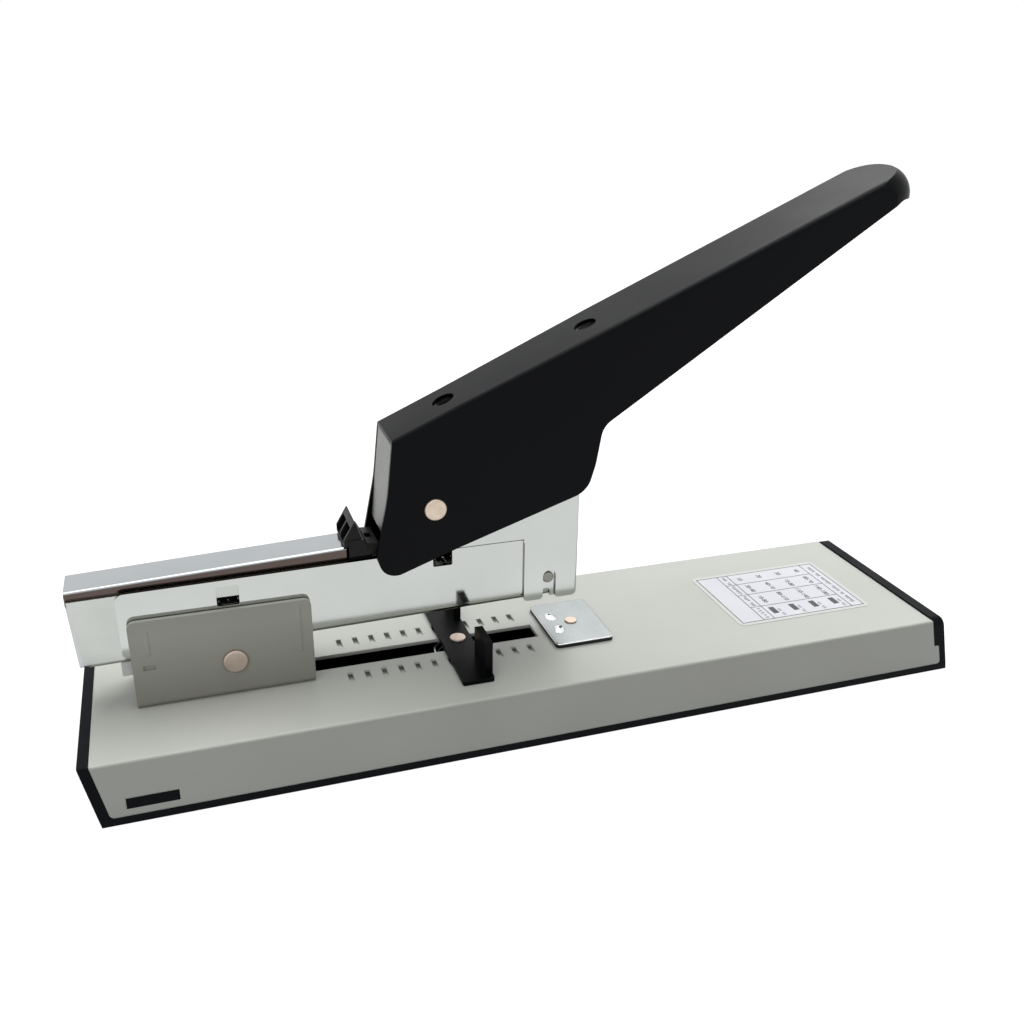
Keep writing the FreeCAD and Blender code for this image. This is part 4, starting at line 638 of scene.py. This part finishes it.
@dataclass(frozen=True)
class FootShadedEnamel(Enamel):
    """Enamel on an upright plate, with painted shade that darkens its foot."""

    # Painted shade: the colour at the foot of the bracket's plates.
    foot_shade: str = "#8C8C84"
    foot_mm: float = 21.0
    clean_mm: float = 44.0

    def tint(self, tree: Tree, place: Socket) -> Socket:
        """The coat's colour, with painted shade that grows darker towards the foot of the plate.

        Args:
            tree: the node tree that it joins.
            place: where on the piece it is read.

        Returns:
            A colour socket.
        """
        height = add_node(tree, "ShaderNodeSeparateXYZ", links={0: place}).outputs["Z"]
        share = add_node(tree, "ShaderNodeMapRange", {
            "From Min": self.foot_mm * MM, "From Max": self.clean_mm * MM}, {"Value": height})
        mix = add_node(tree, "ShaderNodeMix", {"data_type": "RGBA", 6: linear_colour(self.foot_shade)},
                       {0: share.outputs["Result"], 7: super().tint(tree, place)})
        return mix.outputs[2]


@dataclass(frozen=True)
class Moulded(Finish):
    """Moulded plastic or rubber. The spark-eroded tool leaves a fine even texture."""

    grain_mm: float = 0.45
    grain_deep_mm: float = 0.006


# Oven-baked grey enamel on pressed steel: a soft satin that looks green-grey under white light.
GREY_ENAMEL = StampedEnamel("grey_enamel_baked", "#C6C9C2", "#C1C3BC", 0.42, mottle_mm=40.0,
                            edge_mm=0.6)
# The same enamel on the bracket, sprayed thicker: a little darker and warmer, with painted shade at its
# foot.
BRACKET_ENAMEL = FootShadedEnamel("bracket_enamel_baked", "#B4B5AB", "#AEAFA5", 0.44, mottle_mm=30.0)
# Black satin enamel on the pressed handle: dark face-on, and paler where it mirrors the room at a slant.
BLACK_ENAMEL = Enamel("black_enamel_satin", "#05070B", "#040508", 0.36, mottle_mm=50.0, specular=0.08,
                      peel_mm=0.9, speck_share=0.0, edge_mm=0.35)
# Bright chrome plate on cold-rolled strip: a faintly wavy mirror, half as bright as what it shows.
CHROME = ShearedPlate("chrome_plate_bright", "#BFC2BF", "#B8BBB8", 0.09, lay=Lay.ALONG,
                      line_deep_mm=0.0006, mottle_mm=30.0, edge_mm=0.05)
# The loading cover's chrome: the same plate, with painted brown shade on the skirts beside the magazine's
# walls.
COVER_CHROME = SkirtedPlate("chrome_plate_cover", "#B8BCBE", "#B0B5B7", 0.12, lay=Lay.ALONG,
                            line_deep_mm=0.0006, mottle_mm=30.0)
# The channel between the side plates has the same plate, with a painted grey shade along the band under
# them.
CHANNEL_CHROME = BandedPlate("chrome_plate_channel", "#B9BCB8", "#B1B4B0", 0.16, lay=Lay.ALONG,
                             line_deep_mm=0.001)
# Tumbled nickel plate on the anvil: a grey satin with no direction, bright where the staples burnish it.
NICKEL = Burnished("nickel_plate_tumbled", "#969A9A", "#8E9292", 0.34, edge_mm=0.4)
# Dull nickel on the nose rivets, painted darker as the shade of the slot that they sit in.
SLOT_SHADED_NICKEL = BareMetal("nickel_plate_dull_slot_shaded", "#8B8B83", "#7F7F78", 0.38)
# Bright zinc on the plate behind the handle: a cool grey with drawn lines.
ZINC = BareMetal("zinc_plate_drawn", "#70726E", "#676965", 0.38, lay=Lay.ALONG, wave_deep_mm=0.01)
# Plain cold-rolled steel inside: grey, oily, with rolling lines.
STEEL = BareMetal("cold_rolled_steel", "#8F9090", "#7F807F", 0.36, lay=Lay.ALONG)
# Blued steel of the rail and the pusher: nearly black, under a film of oil.
BLUED_STEEL = BareMetal("blued_steel", "#1C1D20", "#141518", 0.45, lay=Lay.ALONG)
# Drawn spring wire: bright and fairly smooth.
SPRING_WIRE = BareMetal("drawn_spring_wire", "#D4D5D3", "#BFC0BE", 0.22, edge_mm=0.05,
                        wave_deep_mm=0.0)
# Rivet steel with faced heads: warm, from the lamp oil burnt on as they are spun.
HEAD_RIVET = BareMetal("rivet_steel_head_pin", "#B0A297", "#A39589", 0.42, lay=Lay.RINGS_Y,
                       centre_mm=(-97.1, 0.0, 32.0), mottle_mm=3.0)
HANDLE_RIVET = BareMetal("rivet_steel_handle_pin", "#D0C2B2", "#C0B09E", 0.42, lay=Lay.RINGS_Y,
                         centre_mm=(-34.5, 0.0, 74.1), mottle_mm=3.0)
GUIDE_RIVET = BareMetal("rivet_steel_guide", "#C2B3A8", "#B3A396", 0.42, lay=Lay.RINGS_Z,
                        centre_mm=(-24.9, 0.0, 21.9), mottle_mm=3.0)
ANVIL_RIVET = BareMetal("rivet_steel_anvil", "#C6B5A8", "#B8A595", 0.42, lay=Lay.RINGS_Z,
                        centre_mm=(15.5, 0.0, 22.0), mottle_mm=3.0)
# Black acetal of the guide and the catch, and black ABS of the tray: fine spark-eroded texture.
BLACK_ACETAL = Moulded("black_acetal_moulded", "#020303", "#010202", 0.38, specular=0.08)
LATCH_ABS = Moulded("black_abs_catch", "#0C0B0A", "#070606", 0.42, specular=0.18)
BLACK_ABS = Moulded("black_abs_tray", "#0D0F14", "#090B0F", 0.50, specular=0.06, mottle_mm=30.0)
# Natural nylon: milky white with a soft sheen.
NYLON = Moulded("natural_nylon", "#F6F6F5", "#EEEEEC", 0.45)
# Clear-coated vinyl of the chart: a greyish margin, a whiter printed field, and thin inks on it.
VINYL = Moulded("grey_vinyl_film", "#D6D9D5", "#D1D4D0", 0.35, grain_mm=1.5, grain_deep_mm=0.001,
                edge_mm=0.05)
FIELD = Moulded("white_printed_field", "#E1E1E8", "#DCDCE4", 0.35, grain_mm=1.5, grain_deep_mm=0.001,
                edge_mm=0.01)
INK = Moulded("black_printing_ink", "#3A3B40", "#333439", 0.5, grain_deep_mm=0.0, edge_mm=0.01)
HEAVY_INK = Moulded("black_solid_ink", "#2C2D2F", "#262728", 0.5, grain_deep_mm=0.0, edge_mm=0.01)
PALE_INK = Moulded("grey_printing_ink", "#9C9DA2", "#929398", 0.5, grain_deep_mm=0.0, edge_mm=0.01)
# Black rubber of the feet: matt and slightly dusty.
RUBBER = Moulded("black_rubber_matt", "#1B1B1B", "#242424", 0.75, specular=0.3)


def dress(node: str, finish: Finish) -> None:
    """Gives a CAD node one finish in all its material slots.

    Args:
        node: the node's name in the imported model.
        finish: what it is finished in.
    """
    piece = FRAME["nodes"][node]
    material = finish.material()
    if not piece.material_slots:
        piece.data.materials.append(material)
    for place in piece.material_slots:
        place.material = material
    LOG.info("dressed %s in %s", node, finish.name)


def dress_all(finishes: dict[str, Finish]) -> None:
    """Gives each node of a sub-assembly its finish."""
    for node, finish in finishes.items():
        dress(node, finish)


def mesh_piece(name: str, shape: Shape, finish: Finish, body: str) -> bpy.types.Object:
    """Turns a mesh in the making into a piece of the scene.

    Args:
        name: the piece's name.
        shape: its mesh, which is freed.
        finish: what it is finished in.
        body: the CAD body that it rides on.

    Returns:
        The new object.
    """
    mesh = bpy.data.meshes.new(name)
    bmesh.ops.recalc_face_normals(shape, faces=shape.faces)
    shape.to_mesh(mesh)
    shape.free()
    piece = bpy.data.objects.new(name, mesh)
    bpy.context.scene.collection.objects.link(piece)
    mesh.materials.append(finish.material())
    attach(piece, body)
    LOG.info("built %s with %d faces", name, len(mesh.polygons))
    return piece


def tube(shape: Shape, path: list[Vector], radius: float, sides: int = 10) -> None:
    """Adds a round wire along a path, closed at both ends.

    Args:
        shape: the mesh that it joins.
        path: points along the middle of the wire.
        radius: half the wire's thickness.
        sides: how many sides the wire has.
    """
    ahead = (path[1] - path[0]).normalized()
    side = ahead.orthogonal().normalized()
    rings = []
    for index, point in enumerate(path):
        before = path[max(index - 1, 0)]
        after = path[min(index + 1, len(path) - 1)]
        turned = (after - before).normalized()
        side = (ahead.rotation_difference(turned) @ side).normalized()
        ahead = turned
        up = ahead.cross(side)
        ring = []
        for step in range(sides):
            angle = 2 * math.pi * step / sides
            swing = side * math.cos(angle) + up * math.sin(angle)
            ring.append(shape.verts.new(point + swing * radius))
        rings.append(ring)
    for low, high in zip(rings, rings[1:]):
        for step in range(sides):
            after = (step + 1) % sides
            face = shape.faces.new((low[step], low[after], high[after], high[step]))
            face.smooth = True
    shape.faces.new(rings[0][::-1])
    shape.faces.new(rings[-1])


def coil(centre: Vector, along: Vector, start: Vector, radius: float, length: float, turns: float,
         steps: int = 20) -> list[Vector]:
    """Points of a wound spring.

    Args:
        centre: middle of its first turn.
        along: unit vector of its axis.
        start: unit vector towards its first point, square to the axis.
        radius: radius of the middle of the wire.
        length: how far it advances along its axis.
        turns: how many turns it makes.
        steps: points in one turn.

    Returns:
        The points, in order.
    """
    count = int(turns * steps)
    across = along.cross(start)
    points = []
    for step in range(count + 1):
        angle = 2 * math.pi * turns * step / count
        swing = start * math.cos(angle) + across * math.sin(angle)
        points.append(centre + along * (length * step / count) + swing * radius)
    return points


@dataclass
class Springs:
    """The four wound springs that the CAD model keeps as plain sleeves."""

    hinge_mm: Span = (-97.1, 32.0)
    lift_radius_mm: float = 3.42
    lift_half_mm: float = 4.4
    lift_wire_mm: float = 0.62
    pivot_mm: Span = (-34.5, 74.1)
    handle_radius_mm: float = 4.9
    handle_half_mm: float = 3.5
    handle_wire_mm: float = 1.2
    catch_mm: Span = (-56.0, 55.6)
    catch_radius_mm: float = 1.65
    catch_half_mm: float = 1.4
    catch_wire_mm: float = 0.36
    feed_radius_mm: float = 2.5
    feed_wire_mm: float = 0.7
    feed_pitch_mm: float = 2.9
    feed_travel_mm: float = 90.0
    feed_steps: int = 14
    feed_sides: int = 8
    pitch_share: float = 1.08
    short_turn: float = 0.25
    leg_inset_mm: float = 1.0
    reach_shares: Span = (0.3, 0.7)

    def sleeve(self, name: str, node: str, body: str, centre_mm: Span, radius_mm: float,
               half_mm: float, wire_mm: float, legs: tuple[Vector, Vector],
               leg_body: str) -> bpy.types.Object:
        """Winds a torsion spring about an axis across Y, with a straight leg at each end.

        Args:
            name: the piece's name.
            node: the plain node that it replaces.
            body: the body that it rides on.
            centre_mm: X and Z of its axis.
            radius_mm: radius of the middle of the wire.
            half_mm: half its wound length.
            wire_mm: the wire's thickness.
            legs: where its first and last legs end, in metres.
            leg_body: the body that its last leg presses on and turns with.

        Returns:
            The new object.
        """
        turns = round(half_mm * 2 / (wire_mm * self.pitch_share)) - self.short_turn
        centre = Vector((centre_mm[0], -half_mm, centre_mm[1])) * MM
        path = coil(centre, Vector((0, 1, 0)), Vector((0, 0, -1)), radius_mm * MM, 2 * half_mm * MM,
                    turns)
        wire = [legs[0]] + path
        if leg_body == body:
            wire.append(legs[1])
        else:
            leg = bmesh.new()
            tube(leg, [path[-1], legs[1]], wire_mm * MM / 2)
            mesh_piece(f"{name}_leg", leg, SPRING_WIRE, leg_body)
        shape = bmesh.new()
        tube(shape, wire, wire_mm * MM / 2)
        piece = mesh_piece(name, shape, SPRING_WIRE, body)
        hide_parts(node)
        return piece

    def build(self) -> None:
        """Winds all four springs."""
        low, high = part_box("lift_spring")
        lift_z = self.hinge_mm[1] - self.lift_radius_mm
        rear_share, front_share = self.reach_shares
        inset = self.leg_inset_mm * MM
        reach = Vector((low[0] * rear_share + high[0] * front_share, -self.lift_half_mm * MM,
                        lift_z * MM))
        rise = Vector((high[0] - inset, self.lift_half_mm * MM,
                       high[2] - self.lift_wire_mm * MM / 2))
        self.sleeve("lift_spring_wire", "lift_spring", "base", self.hinge_mm, self.lift_radius_mm,
                    self.lift_half_mm, self.lift_wire_mm, (reach, rise), "head")
        low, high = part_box("handle_spring")
        floor = (self.pivot_mm[1] - self.handle_radius_mm) * MM
        back = Vector((low[0] + inset, -self.handle_half_mm * MM, floor))
        front = Vector((high[0], self.handle_half_mm * MM, high[2] - self.handle_wire_mm * MM))
        self.sleeve("handle_spring_wire", "handle_spring", "handle", self.pivot_mm,
                    self.handle_radius_mm, self.handle_half_mm, self.handle_wire_mm, (back, front),
                    "handle")
        low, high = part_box("latch_spring")
        wire = self.catch_wire_mm * MM
        under = Vector((low[0], low[1] + wire, low[2] + wire))
        over = Vector((high[0], high[1] - wire, high[2] - wire))
        self.sleeve("latch_spring_wire", "latch_spring", "latch", self.catch_mm, self.catch_radius_mm,
                    self.catch_half_mm, self.catch_wire_mm, (under, over), "latch")
        self.feed_spring()

    def feed_spring(self) -> None:
        """Winds the long spring behind the pusher as one fixed piece; the real one shortens as the pusher
        moves back.
        """
        low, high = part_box("pusher_spring")
        wire = self.feed_wire_mm * MM
        middle = (low + high) / 2
        length = high[0] - low[0] - wire
        turns = round(length / (self.feed_pitch_mm * MM))
        start = Vector((low[0] + wire / 2, middle[1], middle[2]))
        path = coil(start, Vector((1, 0, 0)), Vector((0, 0, 1)), self.feed_radius_mm * MM, length,
                    turns, self.feed_steps)
        shape = bmesh.new()
        tube(shape, path, wire / 2, self.feed_sides)
        piece = mesh_piece("pusher_spring_wire", shape, SPRING_WIRE, "cover")
        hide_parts("pusher_spring")
        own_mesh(piece)


@dataclass
class Base:
    """The enamelled channel, its tray, feet and fasteners."""

    finishes: dict[str, Finish] = field(default_factory=lambda: {
        "base_cover": GREY_ENAMEL, "base_tray": BLACK_ABS, "rubber_feet": RUBBER, "base_posts": STEEL,
        "base_screws": STEEL, "base_stiffener": STEEL, "chart_label": VINYL})

    def build(self) -> None:
        """Dresses the base and prints its chart."""
        dress_all(self.finishes)
        Chart().build()


@dataclass
class Chart:
    """The table printed on the label: rules, plain numbers, solid marks and runs of fine print."""

    margin_mm: float = 1.7
    rule_mm: float = 0.34
    ink_mm: float = 0.02
    rules_along: tuple[float, ...] = (0.17, 0.255, 0.90)
    rules_across: tuple[float, ...] = (0.27, 0.54, 0.78)
    columns: tuple[float, ...] = (0.11, 0.37, 0.63, 0.89)
    figure_mm: float = 2.4
    figure_bold_mm: float = 0.07
    figures: tuple[tuple[str, ...], ...] = (
        ("60-80", "80-110", "110-140", "140-180"), ("30-40", "40-60", "60-80", "80-90"),
        ("10", "20", "30", "40"))
    mark_mm: Span = (2.2, 4.6)
    mark_aside_mm: float = 0.7
    mark_share: float = 0.42
    print_mm: Span = (1.3, 0.5)
    print_share: float = 0.86
    print_margin: float = 0.07
    stroke_share: float = 0.7
    low_letter: float = 0.72
    tall_every: int = 3
    pale_aside_mm: float = 1.5
    pale_start_mm: float = 0.6
    pale_share: float = 0.72
    pale_words: tuple[int, ...] = (3, 3)
    title_words: tuple[int, ...] = (5, 3, 7, 5, 2, 6)
    head_words: tuple[tuple[int, ...], ...] = ((5,), (4, 3), (7,), (3, 2))

    def build(self) -> None:
        """Prints the whole chart, the field first."""
        low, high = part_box("chart_label")
        margin = Vector((self.margin_mm, self.margin_mm, 0)) * MM
        self.near = low + margin
        self.far = high - margin
        self.top = high[2]
        self.field()
        self.rules()
        self.marks()
        self.numbers()

    def along(self, share: float) -> float:
        """X at one share of the chart's length, from its rear edge."""
        return self.near[0] + (self.far[0] - self.near[0]) * share

    def across(self, share: float) -> float:
        """Y at one share of the chart's depth, from its near edge."""
        return self.near[1] + (self.far[1] - self.near[1]) * share

    def column(self, share: float) -> float:
        """X at one share of the part that holds the columns."""
        start = self.along(self.rules_along[1])
        return start + (self.along(self.rules_along[2]) - start) * share

    def row(self, index: int) -> Span:
        """Near and far Y of one row, counted from the near side."""
        stops = (0.0,) + self.rules_across + (1.0,)
        return self.across(stops[index]), self.across(stops[index + 1])

    def bar(self, shape: Shape, x: float, y: float, size: Span,
            lift_mm: float) -> None:
        """Adds one flat inked bar.

        Args:
            shape: the mesh that it joins.
            x: its middle along X.
            y: its middle along Y.
            size: its size along X and Y, in metres.
            lift_mm: how far its top stands over the label.
        """
        thick = lift_mm * MM
        middle = Matrix.Translation((x, y, self.top + thick / 2))
        place = middle @ Matrix.Diagonal((*size, thick, 1.0))
        bmesh.ops.create_cube(shape, size=1.0, matrix=place)

    def field(self) -> None:
        """Prints the white field under the table."""
        shape = bmesh.new()
        size = (self.far[0] - self.near[0], self.far[1] - self.near[1])
        self.bar(shape, self.along(0.5), self.across(0.5), size, self.ink_mm / 2)
        mesh_piece("chart_field", shape, FIELD, "base")

    def rules(self) -> None:
        """Prints the frame and the rules between rows and columns."""
        shape = bmesh.new()
        line = self.rule_mm * MM
        depth = self.far[1] - self.near[1]
        width = self.far[0] - self.near[0]
        for share in (0.0,) + self.rules_along + (1.0,):
            self.bar(shape, self.along(share), self.across(0.5), (line, depth + line), self.ink_mm)
        for share in (0.0, 1.0):
            self.bar(shape, self.along(0.5), self.across(share), (width + line, line), self.ink_mm)
        start = self.along(self.rules_along[0])
        end = self.along(self.rules_along[2])
        for share in self.rules_across:
            self.bar(shape, (start + end) / 2, self.across(share), (end - start, line), self.ink_mm)
        mesh_piece("chart_rules", shape, INK, "base")

    def fine_print(self, shape: Shape, x: float, span: Span,
                   words: tuple[int, ...]) -> None:
        """Adds a run of strokes too fine to read, from the far end of a span to its near end.

        Args:
            shape: the mesh that they join.
            x: middle of the run along X.
            span: near and far Y of the space for it.
            words: how many strokes each word has.
        """
        tall, stroke = (value * MM for value in self.print_mm)
        steps = sum(words) + len(words) - 1
        near, far = span
        pitch = (far - near) * self.print_share / steps
        y = far - (far - near) * self.print_margin - pitch / 2
        for word in words:
            for letter in range(word):
                height = tall * (1.0 if letter % self.tall_every else self.low_letter)
                size = (height, min(stroke, pitch * self.stroke_share))
                self.bar(shape, x + (tall - height) / 2, y, size, self.ink_mm)
                y -= pitch
            y -= pitch

    def marks(self) -> None:
        """Prints the solid marks of the near row, and the fine print beside them and in the headings."""
        solid = bmesh.new()
        pale = bmesh.new()
        fine = bmesh.new()
        near, far = self.row(0)
        depth = far - near
        size = (self.mark_mm[0] * MM, self.mark_mm[1] * MM)
        span = (near + self.pale_start_mm * MM, near + depth * self.pale_share)
        for share in self.columns:
            x = self.column(share)
            self.bar(solid, x - self.mark_aside_mm * MM, far - depth * self.mark_share, size,
                     self.ink_mm)
            self.fine_print(pale, x + self.pale_aside_mm * MM, span, self.pale_words)
        for index, words in enumerate(self.head_words):
            middle = (self.along(self.rules_along[0]) + self.along(self.rules_along[1])) / 2
            self.fine_print(fine, middle, self.row(index), words)
        title = (self.along(self.rules_along[2]) + self.far[0]) / 2
        self.fine_print(fine, title, (self.near[1], self.far[1]), self.title_words)
        mesh_piece("chart_solid_marks", solid, HEAVY_INK, "base")
        mesh_piece("chart_pale_print", pale, PALE_INK, "base")
        mesh_piece("chart_fine_print", fine, INK, "base")

    def numbers(self) -> None:
        """Prints the plain numbers in the cells, turned a quarter as on the real chart."""
        shape = bmesh.new()
        for index, line in enumerate(self.figures):
            near, far = self.row(index + 1)
            for share, figure in zip(self.columns, line):
                text = bpy.data.curves.new("figure", "FONT")
                text.body = figure
                text.size = self.figure_mm * MM
                text.align_x = "CENTER"
                text.align_y = "CENTER"
                text.extrude = self.ink_mm * MM / 2
                text.offset = self.figure_bold_mm * MM
                holder = bpy.data.objects.new("figure", text)
                flat = holder.to_mesh()
                middle = (self.column(share), (near + far) / 2, self.top + self.ink_mm * MM / 2)
                place = Matrix.Translation(middle)
                flat.transform(place @ Matrix.Rotation(-math.pi / 2, 4, "Z"))
                shape.from_mesh(flat)
                holder.to_mesh_clear()
                bpy.data.objects.remove(holder)
                bpy.data.curves.remove(text)
        mesh_piece("chart_figures", shape, INK, "base")


@dataclass
class Hinge:
    """The bracket that carries the head, its pin and the stop under the tail."""

    finishes: dict[str, Finish] = field(default_factory=lambda: {
        "hinge_bracket": BRACKET_ENAMEL, "bracket_rivets": STEEL, "hinge_pin": HEAD_RIVET,
        "tail_stop": NYLON})

    def build(self) -> None:
        """Dresses the hinge."""
        dress_all(self.finishes)


@dataclass
class Clincher:
    """What lies under the nose: the anvil and the sliding guide with its spring."""

    finishes: dict[str, Finish] = field(default_factory=lambda: {
        "anvil_plate": NICKEL, "anvil_rivet": ANVIL_RIVET, "paper_guide": BLACK_ACETAL,
        "guide_rivet": GUIDE_RIVET, "guide_washer": STEEL, "guide_spring": SPRING_WIRE})

    def build(self) -> None:
        """Dresses the anvil and the guide."""
        dress_all(self.finishes)


@dataclass
class Head:
    """The chrome magazine and everything fixed to it."""

    finishes: dict[str, Finish] = field(default_factory=lambda: {
        "magazine_channel": CHANNEL_CHROME, "side_plate_near": CHROME, "side_plate_far": CHROME,
        "nose_frame": CHROME, "front_guide": STEEL, "nose_rivets": SLOT_SHADED_NICKEL,
        "staple_rail": BLUED_STEEL, "latch_pin": STEEL, "handle_pin": HANDLE_RIVET,
        "loading_cover": COVER_CHROME, "pusher_rod": STEEL, "pusher": BLUED_STEEL,
        "latch": LATCH_ABS})

    def build(self) -> None:
        """Dresses the head, the loading cover and the catch."""
        dress_all(self.finishes)


@dataclass
class Handle:
    """The black lever with the parts that drive the staple."""

    finishes: dict[str, Finish] = field(default_factory=lambda: {
        "handle_shell": BLACK_ENAMEL, "rear_plate": ZINC, "inner_lever": STEEL, "press_roller": STEEL,
        "roller_axle": STEEL, "driver_blade": STEEL, "driver_carrier": STEEL})

    def build(self) -> None:
        """Dresses the lever and the driver."""
        dress_all(self.finishes)


@dataclass
class Studio:
    """A white sweep, soft lamps and the camera that the photograph was taken with."""

    eye_mm: tuple[float, float, float] = (-105.85, -294.09, 196.34)
    azimuth: float = -18.70
    elevation: float = 22.87
    roll: float = 0.69
    focal_px: float = 1043.0
    frame_px: float = 1024.0
    sensor_mm: float = 36.0
    clip_m: Span = (0.01, 200.0)
    aim_m: tuple[float, float, float] = (0.0, 0.0, 0.06)
    ambient: float = 0.28
    floor_half: float = 60.0
    floor_glow: float = 0.94
    floor_colour: str = "#8C8C8C"
    lamps: tuple[tuple[str, tuple[float, float, float], float, float], ...] = (
        ("overhead_box", (0.12, 0.20, 1.25), 1.3, 11.0),
        ("rear_box", (0.60, 0.75, 1.20), 0.9, 8.0),
        ("side_fill", (-0.9, -1.1, 0.8), 0.9, 3.8))

    def build(self) -> None:
        """Sets the floor, the light and the camera."""
        self.floor()
        self.world()
        for name, place, size, power in self.lamps:
            self.lamp(name, Vector(place), size, power)
        self.camera()
        bpy.context.scene.view_settings.view_transform = "Standard"

    def floor(self) -> None:
        """A wide white sheet that shows white and still takes the object's shadow."""
        shape = bmesh.new()
        bmesh.ops.create_grid(shape, x_segments=1, y_segments=1, size=self.floor_half)
        mesh = bpy.data.meshes.new("paper_sweep")
        shape.to_mesh(mesh)
        shape.free()
        sheet = bpy.data.objects.new("paper_sweep", mesh)
        bpy.context.scene.collection.objects.link(sheet)
        material = bpy.data.materials.new("white_paper_sweep")
        material.use_nodes = True
        tree = material.node_tree
        tree.nodes.clear()
        seen = self.seen(tree)
        paper = add_node(tree, "ShaderNodeBsdfDiffuse", {"Color": linear_colour(self.floor_colour)})
        strength = add_node(tree, "ShaderNodeMath", {"operation": "MULTIPLY", 1: self.floor_glow},
                            {0: seen})
        glow = add_node(tree, "ShaderNodeEmission", {"Color": (1.0, 1.0, 1.0, 1.0)},
                        {"Strength": strength.outputs["Value"]})
        both = add_node(tree, "ShaderNodeAddShader", links={0: paper.outputs["BSDF"],
                                                            1: glow.outputs["Emission"]})
        add_node(tree, "ShaderNodeOutputMaterial", links={"Surface": both.outputs["Shader"]})
        mesh.materials.append(material)

    def seen(self, tree: Tree) -> Socket:
        """One where the camera, a mirror or a glass looks, and nought for the light on the object.

        Args:
            tree: the node tree that it joins.

        Returns:
            A socket of 0 or 1.
        """
        rays = add_node(tree, "ShaderNodeLightPath")
        first = add_node(tree, "ShaderNodeMath", {"operation": "MAXIMUM"},
                         {0: rays.outputs["Is Camera Ray"], 1: rays.outputs["Is Glossy Ray"]})
        both = add_node(tree, "ShaderNodeMath", {"operation": "MAXIMUM"},
                        {0: first.outputs["Value"], 1: rays.outputs["Is Transmission Ray"]})
        return both.outputs["Value"]

    def world(self) -> None:
        """White to look at, and an even soft light on the object."""
        world = bpy.data.worlds.new("white_room")
        world.use_nodes = True
        tree = world.node_tree
        tree.nodes.clear()
        strength = add_node(tree, "ShaderNodeMapRange", {"To Min": self.ambient, "To Max": 1.0},
                            {"Value": self.seen(tree)})
        room = add_node(tree, "ShaderNodeBackground", {"Color": (1.0, 1.0, 1.0, 1.0)},
                        {"Strength": strength.outputs["Result"]})
        add_node(tree, "ShaderNodeOutputWorld", links={"Surface": room.outputs["Background"]})
        bpy.context.scene.world = world

    def lamp(self, name: str, place: Vector, size: float, power: float) -> None:
        """Adds one square softbox that faces the object.

        Args:
            name: the lamp's name.
            place: its middle, in metres.
            size: its side, in metres.
            power: its power in watts.
        """
        light = bpy.data.lights.new(name, "AREA")
        light.size = size
        light.energy = power
        lamp = bpy.data.objects.new(name, light)
        bpy.context.scene.collection.objects.link(lamp)
        aim = Vector(self.aim_m) - place
        lamp.rotation_euler = aim.to_track_quat("-Z", "Y").to_euler()
        lamp.location = place

    def camera(self) -> None:
        """Stands the camera where the photograph was taken."""
        azimuth = math.radians(self.azimuth)
        elevation = math.radians(self.elevation)
        roll = math.radians(self.roll)
        back = Vector((math.sin(azimuth) * math.cos(elevation),
                       -math.cos(azimuth) * math.cos(elevation), math.sin(elevation)))
        level = Vector((0, 0, 1)).cross(back).normalized()
        upright = back.cross(level)
        right = level * math.cos(roll) + upright * math.sin(roll)
        up = upright * math.cos(roll) - level * math.sin(roll)
        lens = bpy.data.cameras.new("studio_camera")
        lens.sensor_fit = "HORIZONTAL"
        lens.sensor_width = self.sensor_mm
        lens.lens = self.focal_px * self.sensor_mm / self.frame_px
        lens.clip_start, lens.clip_end = self.clip_m
        eye = bpy.data.objects.new("studio_camera", lens)
        bpy.context.scene.collection.objects.link(eye)
        turned = Matrix((right, up, back)).transposed().to_4x4()
        eye.matrix_world = Matrix.Translation(Vector(self.eye_mm) * MM) @ turned
        bpy.context.scene.camera = eye


def main() -> None:
    """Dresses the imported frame, adds the finer pieces and sets the studio."""
    logging.basicConfig(level=logging.INFO, format="%(name)s: %(message)s")
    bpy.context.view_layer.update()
    stages: tuple[Callable[[], None], ...] = (
        Base().build, Hinge().build, Clincher().build, Head().build, Handle().build, Springs().build,
        Studio().build)
    for stage in stages:
        stage()


if __name__ == "__main__":
    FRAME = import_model()
    main()
